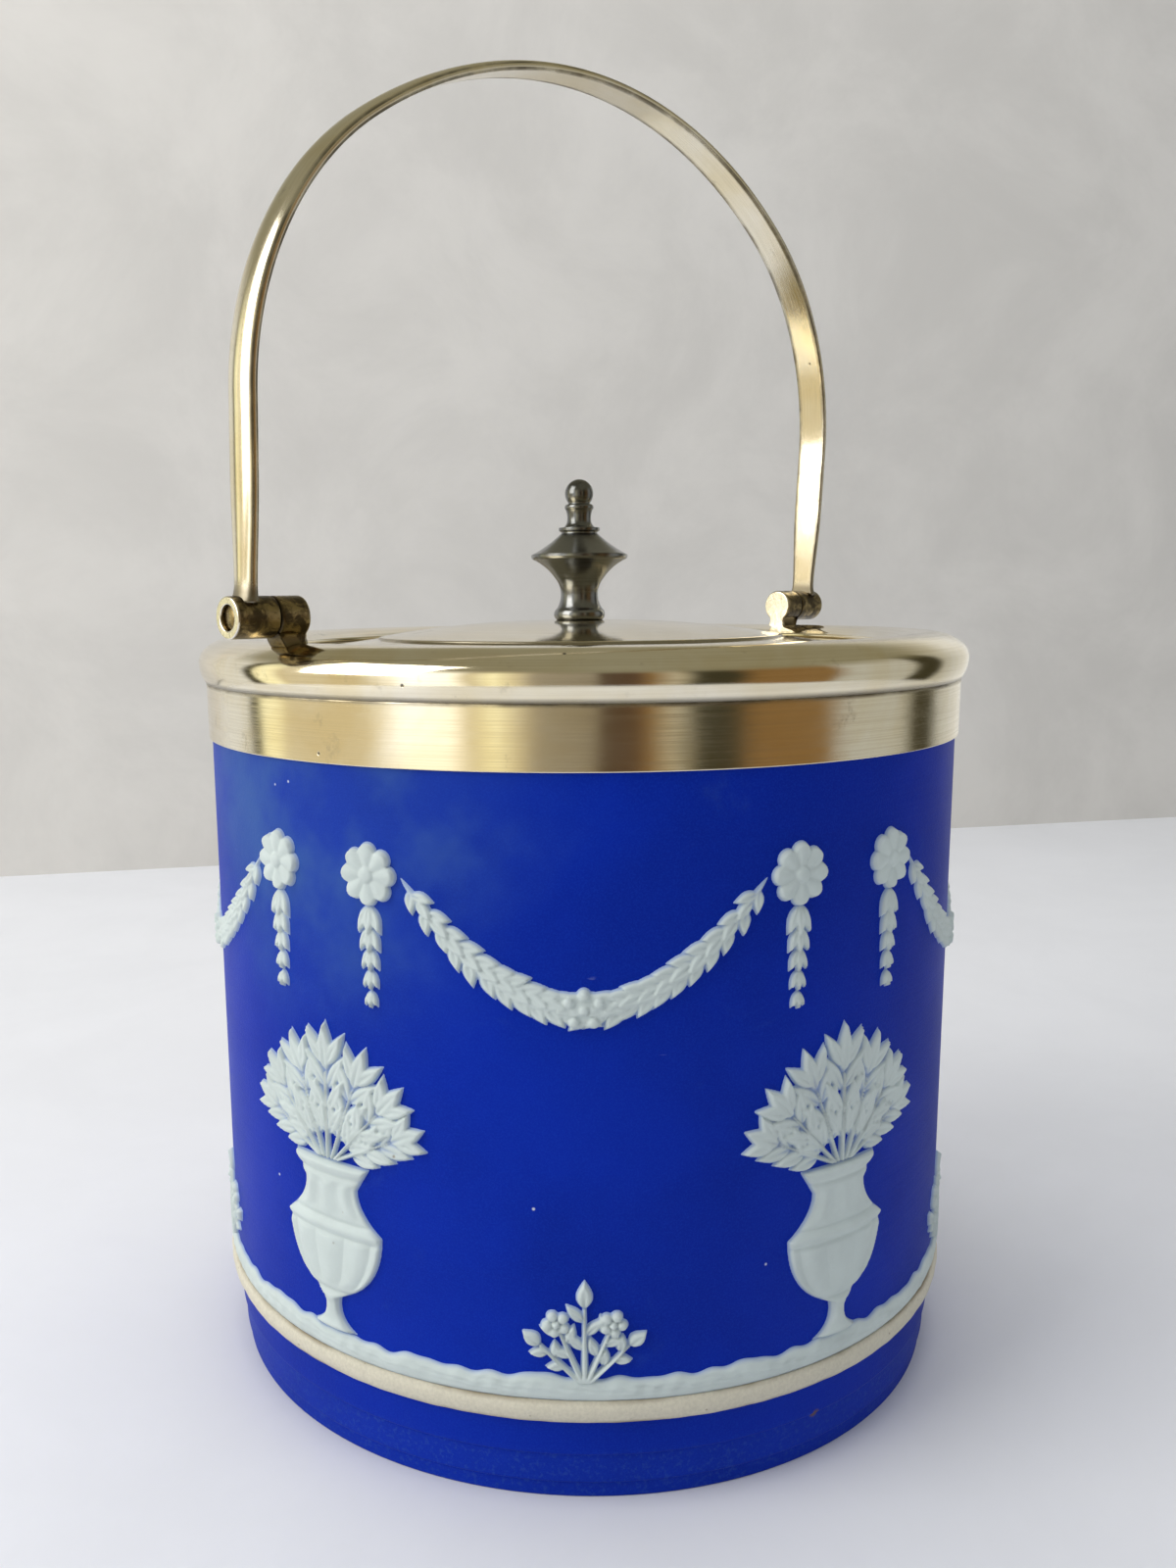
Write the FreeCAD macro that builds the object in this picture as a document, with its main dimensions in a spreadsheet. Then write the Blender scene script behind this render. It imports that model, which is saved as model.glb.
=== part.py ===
import FreeCAD, Part
import math
import os
import re
import Sketcher

# A biscuit jar: a stoneware cylinder with applied relief, a plated rim mount, a loose lid with a turned
# finial, and a swing handle on two hinges. Millimetres, +Z up, the origin under the middle of the foot.
# The hinge line runs along X.

SIZES = (
    ("body_radius", 63.5, "outer radius of the stoneware cylinder"),
    ("body_wall", 5.2, "thickness of the stoneware wall"),
    ("floor_thickness", 6.5, "height of the inside floor"),
    ("floor_round", 9.0, "radius between the inside floor and the wall"),
    ("rim_height", 117.0, "height of the stoneware rim, inside the mount"),
    ("rim_round", 1.6, "rounding of the stoneware rim"),
    ("neck_rebate", 0.8, "depth of the rebate that the plaster fills under the mount"),
    ("neck_depth", 10.0, "how far under the rim that rebate starts"),
    ("lower_step_inset", 1.6, "how far the lowest turned step of the foot lies in from the wall"),
    ("lower_step_rise", 2.6, "height of the lowest step"),
    ("middle_step_inset", 1.15, "how far the middle step lies in"),
    ("middle_step_rise", 4.7, "height of the middle step"),
    ("upper_step_inset", 0.65, "how far the upper step lies in, under the cream band"),
    ("upper_step_rise", 5.9, "height of the upper step"),
    ("foot_ring_width", 8.9, "width of the ring that the jar stands on"),
    ("foot_recess_depth", 1.5, "depth of the hollow inside that ring"),
    ("band_height", 3.4, "height of the cream band"),
    ("band_proud", 1.0, "how far the cream band stands out at its middle"),
    ("band_edge", 0.5, "how far it stands out at its upper and lower edges"),
    ("strip_height", 3.6, "height of the white ground strip on the band"),
    ("strip_proud", 0.7, "how far the ground strip stands out"),
    ("relief_proud", 1.1, "how far the white relief stands out"),
    ("relief_turn", 44.4, "direction of the first urn from the hinge line, degrees"),
    ("urn_count", 5, "urns around the jar, with as many garlands between them"),
    ("urn_height", 27.0, "height of an urn"),
    ("urn_half_width", 9.6, "half of the width of an urn's bowl"),
    ("spray_leaves", 7, "leaves in the spray on an urn"),
    ("spray_spread", 66.0, "lean of a spray's outermost leaves, degrees"),
    ("leaf_length", 21.0, "length of the middle leaf in a spray"),
    ("leaf_half_width", 2.6, "half of the width of that leaf"),
    ("garland_drop", 15.0, "how far under the collar the garlands' rosettes lie"),
    ("garland_half_span", 25.0, "half of the straight distance between a garland's ends"),
    ("garland_sag", 17.0, "how far a garland hangs down"),
    ("garland_depth", 6.4, "height of a garland at its middle"),
    ("rosette_radius", 4.6, "radius of a rosette"),
    ("drop_gap", 1.2, "gap between a leaf drop under a rosette and the sprays below"),
    ("drop_half_width", 2.35, "half of the width of that drop"),
    ("sprig_leaves", 5, "leaves in a small sprig"),
    ("sprig_spread", 50.0, "lean of a sprig's outermost leaves, degrees"),
    ("sprig_height", 15.0, "height of the small sprigs on the ground strip"),
    ("sprig_half_width", 1.55, "half of the width of a sprig's leaf"),
    ("collar_reach", 11.0, "how far the collar reaches down under the rim"),
    ("joint_drop", 2.0, "how far under the rim the shoulder is soldered on the collar"),
    ("collar_sheet", 0.6, "thickness of the collar"),
    ("shoulder_overhang", 1.7, "how far the shoulder stands out past the wall"),
    ("shoulder_rise", 3.3, "height of its widest line over the joint"),
    ("shoulder_round", 3.0, "outer rounding of the shoulder"),
    ("shoulder_tuck", 5.5, "rounding from the collar out to the shoulder"),
    ("crest_inset", 5.8, "distance from the widest line in to the highest line"),
    ("crest_rise", 4.0, "height of the highest line over the widest"),
    ("lip_reach", 7.4, "distance from the highest line in to the edge of the opening"),
    ("lip_fall", 1.4, "drop from the highest line to that edge"),
    ("mount_sheet", 0.8, "thickness of the shoulder and the lid seat"),
    ("ledge_width", 4.5, "width of the ledge that carries the lid"),
    ("sleeve_depth", 9.0, "how far the seat's sleeve reaches down under the rim"),
    ("lid_gap", 0.6, "gap round the lid"),
    ("lid_sink", 1.5, "how far the lid's edge lies under the edge of the opening"),
    ("lid_rim_width", 16.4, "width of the lid's outer zone, out from its fine step"),
    ("lid_rim_rise", 2.4, "rise of that zone"),
    ("lid_step_drop", 0.3, "drop of the lid at that step"),
    ("lid_dome_rise", 2.6, "rise of the lid inside the step"),
    ("lid_pad_radius", 4.8, "radius of the flat on which the finial stands"),
    ("lid_sheet", 0.9, "thickness of the lid"),
    ("seat_clearance", 0.15, "gap between the lid and its ledge"),
    ("flange_clearance", 0.6, "gap between the lid's flange and the seat"),
    ("flange_sheet", 0.8, "thickness of the flange"),
    ("flange_depth", 6.0, "how far the flange reaches under the lid's edge"),
    ("stud_radius", 1.25, "radius of the threaded stud in the finial"),
    ("stud_fit", 0.05, "gap between the stud and what is threaded on it"),
    ("stud_end", 0.8, "how far the stud passes the nut"),
    ("stud_reach", 1.25, "how far the stud's top stays under the ball"),
    ("spool_height", 11.2, "height of the finial's lower piece, up to its rim"),
    ("spool_bead_radius", 4.47, "radius of the bead at its foot"),
    ("spool_bead_height", 2.0, "height of that bead"),
    ("spool_foot_radius", 3.97, "radius of the spool over and under the bead"),
    ("spool_waist_radius", 3.25, "radius of its waist"),
    ("spool_waist_height", 4.4, "height of the waist over the lid"),
    ("spool_flare_radius", 4.3, "radius where the spool starts to sweep out"),
    ("spool_flare_height", 7.3, "height of that place over the lid"),
    ("spool_sweep", 9.5, "radius of the sweep out to the rim"),
    ("finial_rim_radius", 8.4, "radius of the finial's sharp rim"),
    ("finial_rim_edge", 0.7, "height of that rim's edge"),
    ("finial_rim_taper", 0.15, "how far that edge leans in"),
    ("cone_height", 4.6, "height of the finial's middle piece"),
    ("cone_sweep", 22.0, "radius of the hollow side of its cone"),
    ("cone_top_radius", 3.05, "radius of the top of its cone"),
    ("collet_radius", 3.55, "radius of the thin flange on the cone"),
    ("collet_height", 0.5, "height of that flange"),
    ("collet_taper", 0.35, "height of the slope under it"),
    ("neck_radius", 2.1, "radius of the finial's neck"),
    ("neck_foot_radius", 2.85, "radius of the neck's foot"),
    ("neck_foot_height", 1.1, "height of that foot"),
    ("neck_foot_round", 1.6, "radius of its hollow side"),
    ("neck_sweep", 4.0, "radius of the hollow between the foot and the ring"),
    ("neck_height", 4.0, "height of the neck and its ring"),
    ("ring_radius", 2.46, "radius of the ring under the ball"),
    ("ring_depth", 1.0, "height of that ring"),
    ("ring_taper", 0.15, "how far the ring's edges draw in"),
    ("ball_radius", 2.45, "radius of the ball"),
    ("ball_neck", 1.9, "radius where the ball meets its ring"),
    ("ball_seat", 0.2, "height of the groove under the ball"),
    ("nut_flats", 6.0, "width across the flats of the nut"),
    ("nut_height", 2.3, "height of the nut"),
    ("washer_inset", 0.4, "how far the washer lies in from the flat's edge"),
    ("washer_height", 0.7, "thickness of the washer"),
    ("hinge_rise", 3.8, "height of the handle's hinge line over the shoulder's highest line"),
    ("knuckle_radius", 3.0, "outer radius of the hinge tubes"),
    ("pin_radius", 1.75, "radius of the hinge pins"),
    ("pin_fit", 0.06, "running gap between a pin and its knuckle"),
    ("pin_sink", 0.4, "how far a pin's end lies inside its knuckle"),
    ("lug_inset", 1.1, "how far a lug's inner end lies in from the shoulder's highest line"),
    ("lug_length", 4.9, "length of a lug"),
    ("lug_foot_width", 4.6, "width of the foot that is soldered to the shoulder"),
    ("hinge_gap", 0.15, "gap between a lug and its knuckle"),
    ("knuckle_length", 7.0, "length of a knuckle"),
    ("bow_place", 4.15, "distance of the middle of the handle's strip from a knuckle's inner end"),
    ("bow_leg", 30.4, "height of the straight legs over the hinge line"),
    ("arch_rise", 54.0, "height of the arch over the legs"),
    ("arch_flat", 6.3, "how much smaller the radius of the arch's sides is than its height"),
    ("bow_width", 6.0, "width of the handle's strip"),
    ("bow_thickness", 1.7, "thickness of the strip at its middle"),
    ("bow_edge", 0.7, "thickness of the strip at its edges"),
    ("bow_lean", 3.0, "how far the handle leans from upright, degrees"),
)

doc = FreeCAD.newDocument("BiscuitJar")
sheet = doc.addObject("Spreadsheet::Sheet", "Sizes")
for row, (name, size, meaning) in enumerate(SIZES, start=1):
    sheet.set("A%d" % row, name)
    sheet.set("B%d" % row, str(size))
    sheet.setAlias("B%d" % row, name)
    sheet.set("C%d" % row, meaning)
doc.recompute()

# Places that follow from the sizes. The foot and the wall, the mount, the lid, then the hinges and the bow.
PLACES = {
    "lower_step_radius": "(body_radius - lower_step_inset)",
    "middle_step_radius": "(body_radius - middle_step_inset)",
    "upper_step_radius": "(body_radius - upper_step_inset)",
    "foot_recess_radius": "(lower_step_radius - foot_ring_width)",
    "middle_step_top": "(lower_step_rise + middle_step_rise)",
    "band_bottom": "(middle_step_top + upper_step_rise)",
    "band_top": "(band_bottom + band_height)",
    "ground": "(band_top + strip_height)",
    "neck_outside": "(body_radius - neck_rebate)",
    "neck_bottom": "(rim_height - neck_depth)",
    "garland_height": "(collar_bottom - garland_drop)",
    "spray_top": "(ground + urn_height + leaf_length)",
    "drop_length": "(garland_height - rosette_radius - spray_top - drop_gap)",
    "collar_bottom": "(rim_height - collar_reach)",
    "collar_top": "(rim_height - joint_drop)",
    "collar_radius": "(body_radius + collar_sheet)",
    "shoulder_radius": "(body_radius + shoulder_overhang)",
    "shoulder_height": "(collar_top + shoulder_rise)",
    "crest_radius": "(shoulder_radius - crest_inset)",
    "crest_height": "(shoulder_height + crest_rise)",
    "lip_radius": "(crest_radius - lip_reach)",
    "lip_height": "(crest_height - lip_fall)",
    "seat_inner_radius": "(lip_radius - ledge_width)",
    "sleeve_bottom": "(rim_height - sleeve_depth)",
    "ledge_height": "(lid_edge_height - lid_sheet - seat_clearance)",
    "lid_radius": "(lip_radius - lid_gap)",
    "lid_edge_height": "(lip_height - lid_sink)",
    "lid_step_radius": "(lid_radius - lid_rim_width)",
    "lid_step_height": "(lid_edge_height + lid_rim_rise)",
    "lid_apex": "(lid_step_height + lid_dome_rise)",
    "washer_radius": "(lid_pad_radius - washer_inset)",
    "hinge_height": "(crest_height + hinge_rise)",
    "lug_inner": "(crest_radius - lug_inset)",
    "knuckle_inner": "(lug_inner + lug_length + hinge_gap)",
    "bow_half_span": "(knuckle_inner + bow_place)",
    "bow_side_radius": "(arch_rise - arch_flat)",
    "bow_top": "(bow_leg + arch_rise)",
}

# The outline of an urn, from its foot to its brim, as shares of the half width and the height; each point
# but the first comes with the point that its curve passes through, and the brim's flare is straight.
URN_PROFILE = ((0.50, 0.00), (0.16, 0.20), (1.00, 0.62), (0.55, 0.86), (0.80, 1.00))
URN_CURVES = ((0.20, 0.08), (0.78, 0.36), (0.66, 0.74))

# The shares by which the outermost leaves of a fan are shorter than its middle leaf.
SPRAY_TAPER = 0.2
SPRIG_TAPER = 0.25

# A nearly half-round edge: its radius as a share of the sheet's thickness.
HALF_ROUND = 0.51

CELLS = re.compile(r"\b(%s)\b" % "|".join(name for name, size, meaning in SIZES))
DERIVED = re.compile(r"\b(%s)\b" % "|".join(PLACES))


def tied(text):
    """The expression with every place worked out from sizes, and every size pointing at its cell."""
    while DERIVED.search(text):
        text = DERIVED.sub(lambda found: PLACES[found.group(1)], text)
    return CELLS.sub(r"Sizes.\1", text)


def number(text):
    """The present value of an expression."""
    return float(sheet.evalExpression(tied(text)))


def origin_plane(body, role):
    """A body's own origin plane, found by its role."""
    return next(item for item in body.Origin.OriginFeatures if item.Role == role)


def new_body(label):
    """An empty body with its label."""
    body = doc.addObject("PartDesign::Body", label)
    body.Label = label
    return body


def arc_through(start, end, radius, side):
    """An arc from start to end whose centre lies on the given side, left or right of the way."""
    chord = end - start
    across = FreeCAD.Vector(-chord.y, chord.x, 0).normalize() * (1 if side == "left" else -1)
    reach = math.sqrt(max(radius ** 2 - (chord.Length / 2) ** 2, 0.0))
    centre = (start + end) * 0.5 + across * reach
    middle = centre + ((start + end) * 0.5 - centre).normalize() * radius
    return Part.Arc(start, middle, end)


def pin_corner(sketch, edge, corner, index):
    """Ties one corner of a sketch to its two expressions."""
    for axis, text in zip("XY", corner):
        place = number(text)
        if abs(place) < 1e-9:
            line = -2 if axis == "X" else -1
            sketch.addConstraint(Sketcher.Constraint("PointOnObject", edge, index, line))
        elif place > 0:
            rule = sketch.addConstraint(Sketcher.Constraint("Distance" + axis, -1, 1, edge, index, place))
            sketch.setExpression("Constraints[%d]" % rule, tied(text))
        else:
            rule = sketch.addConstraint(Sketcher.Constraint("Distance" + axis, edge, index, -1, 1, -place))
            sketch.setExpression("Constraints[%d]" % rule, tied("-(%s)" % text))


def draw(sketch, corners, arcs=None, closed=True):
    """Draws lines through the corners, or an arc where arcs gives an edge its radius and side."""
    arcs = arcs or {}
    points = [FreeCAD.Vector(number(across), number(up), 0) for across, up in corners]
    edges = []
    for index in range(len(points) if closed else len(points) - 1):
        start, end = points[index], points[(index + 1) % len(points)]
        if index not in arcs:
            edge = sketch.addGeometry(Part.LineSegment(start, end), False)
            edges.append((edge, 1, 2))
            continue
        radius, side = arcs[index]
        edge = sketch.addGeometry(arc_through(start, end, number(radius), side), False)
        ends = (1, 2) if (sketch.getPoint(edge, 1) - start).Length < 1e-6 else (2, 1)
        edges.append((edge,) + ends)
        rule = sketch.addConstraint(Sketcher.Constraint("Radius", edge, number(radius)))
        sketch.setExpression("Constraints[%d]" % rule, tied(radius))
    for (edge, first, last), (other, start, end) in zip(edges, edges[1:] + edges[:1] * closed):
        sketch.addConstraint(Sketcher.Constraint("Coincident", edge, last, other, start))
    for (edge, first, last), corner in zip(edges, corners):
        pin_corner(sketch, edge, corner, first)
    if not closed:
        pin_corner(sketch, edges[-1][0], corners[-1], edges[-1][2])


def new_sketch(body, name, role="XZ_Plane"):
    """A sketch on one of the body's origin planes."""
    sketch = body.newObject("Sketcher::SketchObject", name)
    sketch.AttachmentSupport = (origin_plane(body, role), [""])
    sketch.MapMode = "FlatFace"
    return sketch


def revolved(label, corners, arcs=None):
    """A body turned about the Z axis from an outline of radii and heights."""
    body = new_body(label)
    sketch = new_sketch(body, label + "_outline")
    draw(sketch, corners, arcs)
    turn = body.newObject("PartDesign::Revolution", label + "_turn")
    turn.Profile = sketch
    turn.ReferenceAxis = (sketch, ["V_Axis"])
    turn.Angle = 360
    sketch.Visibility = False
    return body


def bow_radius(half_chord, rise):
    """The radius of an arc that rises this far over half of its chord."""
    return "((%s ^ 2 + %s ^ 2) / (2 * %s))" % (half_chord, rise, rise)


def blend_radius(run, rise, small):
    """The radius of an arc that starts level and meets a smaller arc smoothly, with their joint sizes."""
    return "((%s ^ 2 + %s ^ 2 - %s ^ 2) / (2 * (%s - %s)))" % (run, rise, small, rise, small)


def ring(label, inner, outer, bottom, top):
    """A plain ring of rectangular section."""
    return revolved(label, [(inner, bottom), (outer, bottom), (outer, top), (inner, top)])


def combined(kind, label, **links):
    """A boolean object with its label."""
    item = doc.addObject(kind, label)
    item.Label = label
    for name, link in links.items():
        setattr(item, name, link)
    return item


def rod(label, radius, start, length):
    """A cylinder along the hinge line, from start outwards on the +X side."""
    item = doc.addObject("Part::Cylinder", label)
    item.Label = label
    item.Placement = FreeCAD.Placement(FreeCAD.Vector(), FreeCAD.Rotation(FreeCAD.Vector(0, 1, 0), 90))
    for prop, text in (("Radius", radius), ("Height", length), ("Placement.Base.x", start),
                       ("Placement.Base.z", "hinge_height")):
        item.setExpression(prop, tied(text))
    return item


def mirrored(label, source):
    """The same piece on the -X side."""
    item = doc.addObject("Part::Mirroring", label)
    item.Label = label
    item.Source = source
    item.Base = FreeCAD.Vector(0, 0, 0)
    item.Normal = FreeCAD.Vector(1, 0, 0)
    return item


def make_jar_body():
    """The stoneware: a stepped foot, a straight wall, a rebated neck and a rounded rim."""
    inside = "body_radius - body_wall"
    corners = [
        ("0", "foot_recess_depth"), ("foot_recess_radius", "foot_recess_depth"), ("foot_recess_radius", "0"),
        ("lower_step_radius", "0"), ("lower_step_radius", "lower_step_rise"),
        ("middle_step_radius", "lower_step_rise"), ("middle_step_radius", "middle_step_top"),
        ("upper_step_radius", "middle_step_top"), ("upper_step_radius", "band_bottom"),
        ("body_radius", "band_bottom"), ("body_radius", "neck_bottom"), ("neck_outside", "neck_bottom"),
        ("neck_outside", "rim_height - rim_round"), ("neck_outside - rim_round", "rim_height"),
        (inside + " + rim_round", "rim_height"), (inside, "rim_height - rim_round"),
        (inside, "floor_thickness + floor_round"), (inside + " - floor_round", "floor_thickness"),
        ("0", "floor_thickness"),
    ]
    arcs = {12: ("rim_round", "left"), 14: ("rim_round", "left"), 16: ("floor_round", "right")}
    return revolved("jar_body", corners, arcs)


def make_bands():
    """The cream band and the white ground strip that stands on it."""
    bulge = "(band_proud - band_edge)"
    edge = "body_radius + band_edge"
    band = revolved("cream_band", [
        ("body_radius", "band_bottom"), (edge, "band_bottom"), (edge, "band_top"),
        ("body_radius", "band_top")],
        {1: (bow_radius("(band_height / 2)", bulge), "left")})
    strip = ring("ground_strip", "body_radius", "body_radius + strip_proud", "band_top", "ground")
    return [band, strip]


def relief_piece(label, outline, turns, beside=()):
    """Low relief on the jar: flat outlines carried straight back onto the cylinder, once for each turn.

    What lies beside it is cut away, so that neighbours meet without an overlap."""
    radius = number("body_radius")
    proud = radius + number("relief_proud")
    height = number("rim_height")
    shell = Part.makeCylinder(proud, height).cut(Part.makeCylinder(radius, height))
    front = FreeCAD.Vector(0, -2 * proud, 0)

    def blank(wire):
        return Part.Face(wire.translated(front)).extrude(FreeCAD.Vector(0, 2 * proud, 0))

    blanks = [blank(wire) for wire in outline]
    motif = shell.common(blanks[0].fuse(blanks[1:]) if len(blanks) > 1 else blanks[0])
    for wire in beside:
        motif = motif.cut(blank(wire))
    solids = []
    for turn in turns:
        copy = motif.copy()
        copy.rotate(FreeCAD.Vector(), FreeCAD.Vector(0, 0, 1), turn + 90)
        solids += copy.Solids
    item = doc.addObject("Part::Feature", label)
    item.Label = label
    item.Shape = Part.makeCompound(solids)
    return item


def flat(points, bulges=None):
    """A closed wire in the XZ plane: lines, or arcs through a middle point where bulges gives one."""
    bulges = bulges or {}
    corners = [FreeCAD.Vector(across, 0, up) for across, up in points]
    edges = []
    for index, start in enumerate(corners):
        end = corners[(index + 1) % len(corners)]
        if index in bulges:
            across, up = bulges[index]
            edges.append(Part.Arc(start, FreeCAD.Vector(across, 0, up), end).toShape())
        else:
            edges.append(Part.LineSegment(start, end).toShape())
    return Part.Wire(edges)


def leaf(root, angle, length, half_width):
    """A pointed leaf from two arcs, leaning by angle from upright."""
    lean = math.radians(angle)
    along = (math.sin(lean), math.cos(lean))
    middle = (root[0] + along[0] * length / 2, root[1] + along[1] * length / 2)
    tip = (root[0] + along[0] * length, root[1] + along[1] * length)
    side = (along[1] * half_width, -along[0] * half_width)
    return flat([root, tip], {0: (middle[0] - side[0], middle[1] - side[1]),
                              1: (middle[0] + side[0], middle[1] + side[1])})


def fan(height, count, spread, length, half_width, taper):
    """A fan of leaves over one point, the outer ones shorter, with their roots drawn a little apart."""
    leaves = []
    for index in range(count):
        share = 2.0 * index / (count - 1) - 1.0
        leaves.append(leaf((share * half_width, height), share * spread, length * (1.0 - abs(share) * taper),
                           half_width))
    return leaves


def urn_outline(half_width, bottom, height):
    """An urn from its foot up one side to its brim, and the same way down the other side."""
    right = [(across * half_width, bottom + up * height) for across, up in URN_PROFILE]
    bends = [(across * half_width, bottom + up * height) for across, up in URN_CURVES]
    corners = right + [(-across, up) for across, up in reversed(right)]
    arcs = dict(enumerate(bends))
    arcs.update((2 * len(right) - 2 - index, (-across, up)) for index, (across, up) in enumerate(bends))
    return flat(corners, arcs)


def make_relief():
    """Generic classical relief: urns with sprays of leaves, garlands between rosettes, drops and sprigs."""
    count = int(number("urn_count"))
    step = 360.0 / count
    urn_turns = [number("relief_turn") + step * index for index in range(count)]
    between = [turn + step / 2 for turn in urn_turns]
    ground = number("ground")
    tall = number("urn_height")
    urn = urn_outline(number("urn_half_width"), ground, tall)
    urns = relief_piece("relief_urns", [urn], urn_turns)
    spray = fan(ground + tall, int(number("spray_leaves")), number("spray_spread"), number("leaf_length"),
                number("leaf_half_width"), SPRAY_TAPER)
    sprays = relief_piece("relief_leaf_sprays", spray, urn_turns, beside=[urn])
    height, span = number("garland_height"), number("garland_half_span")
    sag, depth = number("garland_sag"), number("garland_depth")
    knot = number("rosette_radius")
    swag = flat([(-span, height), (span, height)],
                {0: (0, height - sag - depth / 2), 1: (0, height - sag + depth / 2)})
    garlands = relief_piece("relief_garlands", [swag], between)
    hang = [turn + side * math.degrees(math.asin((span + knot) / number("body_radius")))
            for turn in between for side in (-1, 1)]
    circle = Part.Circle(FreeCAD.Vector(0, 0, height), FreeCAD.Vector(0, 1, 0), knot)
    rosettes = relief_piece("relief_rosettes", [Part.Wire(circle.toShape())], hang)
    fall = leaf((0, height - knot), 180, number("drop_length"), number("drop_half_width"))
    drops = relief_piece("relief_drops", [fall], hang)
    tuft = fan(ground, int(number("sprig_leaves")), number("sprig_spread"), number("sprig_height"),
               number("sprig_half_width"), SPRIG_TAPER)
    sprigs = relief_piece("relief_sprigs", tuft, between)
    return [urns, sprays, garlands, rosettes, drops, sprigs]


def shoulder_form(label, sheet_in):
    """The shoulder's outer form, moved in by sheet_in: tuck, rounding, flatter crown and inner fall."""
    widest = "(shoulder_radius - %s)" % sheet_in
    small = "(shoulder_round - %s)" % sheet_in
    top = "(crest_height - %s)" % sheet_in
    rise = "(%s - shoulder_height)" % top
    run = "(shoulder_radius - shoulder_round - crest_radius)"
    crown = blend_radius(run, rise, small)
    apart = "(%s - %s)" % (crown, small)
    join = ("crest_radius + %s * %s / %s" % (crown, run, apart),
            "%s - %s + %s * (%s - %s) / %s" % (top, crown, crown, crown, rise, apart))
    fall = "(crest_radius - lip_radius)"
    drop = "(crest_height - lip_height)"
    dish = bow_radius(fall, drop)
    tuck = "(shoulder_tuck - %s)" % sheet_in
    inset = "(collar_radius - %s)" % sheet_in
    corners = [("lip_radius", "collar_top"), (inset, "collar_top"), (widest, "shoulder_height"), join,
               ("crest_radius", top), ("lip_radius", "lip_height - %s" % sheet_in)]
    arcs = {1: (tuck, "left"), 2: (small, "left"), 3: (crown, "left"), 4: (dish, "left")}
    return revolved(label, corners, arcs)


def make_mount():
    """The plated mount: collar, plaster bed, shoulder and the seat for the lid."""
    collar = ring("collar_band", "body_radius", "collar_radius", "collar_bottom", "collar_top")
    bed = ring("plaster_bed", "neck_outside", "body_radius", "neck_bottom", "collar_top")
    outside = shoulder_form("shoulder_outside", "0")
    hollow = shoulder_form("shoulder_hollow", "mount_sheet")
    shoulder = combined("Part::Cut", "shoulder_ring", Base=outside, Tool=hollow)
    blank = revolved("seat_blank", [
        ("seat_inner_radius", "sleeve_bottom"), ("seat_inner_radius + mount_sheet", "sleeve_bottom"),
        ("seat_inner_radius + mount_sheet", "ledge_height - mount_sheet"),
        ("lip_radius + mount_sheet", "ledge_height - mount_sheet"),
        ("lip_radius + mount_sheet", "lip_height - mount_sheet / 4"),
        ("lip_radius", "lip_height - mount_sheet / 4"), ("lip_radius", "ledge_height"),
        ("seat_inner_radius", "ledge_height")])
    seat = combined("Part::Cut", "lid_seat", Base=blank, Tool=shoulder)
    return outside, [collar, bed, shoulder, seat]


def make_hinge(form):
    """On each side: a lug soldered to the shoulder, a pin, and the knuckle that the handle stands on."""
    lug_tube = rod("lug_tube", "knuckle_radius", "lug_inner", "lug_length")
    foot = doc.addObject("Part::Box", "lug_foot")
    for prop, text in (("Length", "lug_length"), ("Width", "lug_foot_width"),
                       ("Height", "hinge_height - lip_height"), ("Placement.Base.x", "lug_inner"),
                       ("Placement.Base.y", "-lug_foot_width / 2"), ("Placement.Base.z", "lip_height")):
        foot.setExpression(prop, tied(text))
    blank = combined("Part::MultiFuse", "lug_blank", Shapes=[lug_tube, foot])
    seated = combined("Part::Cut", "lug_seated", Base=blank, Tool=form)
    lug_bore = rod("lug_bore", "pin_radius", "lug_inner", "lug_length")
    right_lug = combined("Part::Cut", "right_hinge_lug", Base=seated, Tool=lug_bore)
    tube = rod("knuckle_tube", "knuckle_radius", "knuckle_inner", "knuckle_length")
    bore = rod("knuckle_bore", "pin_radius + pin_fit", "knuckle_inner", "knuckle_length")
    right_knuckle = combined("Part::Cut", "right_handle_knuckle", Base=tube, Tool=bore)
    pin_length = "lug_length + hinge_gap + knuckle_length - pin_sink"
    pin_blank = rod("pin_blank", "pin_radius", "lug_inner", pin_length)
    doc.recompute()
    right_pin = doc.addObject("Part::Fillet", "right_hinge_pin")
    right_pin.Base = pin_blank
    outer_end = [index for index, edge in enumerate(pin_blank.Shape.Edges, start=1)
                 if edge.BoundBox.XLength < 1e-6 and edge.BoundBox.XMin > number("lug_inner") + 1]
    right_pin.Edges = [(index, number("pin_radius") / 2, number("pin_radius") / 2) for index in outer_end]
    pieces = []
    for right in (right_lug, right_pin, right_knuckle):
        pieces += [right, mirrored(right.Label.replace("right", "left"), right)]
    return tube, pieces


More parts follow.
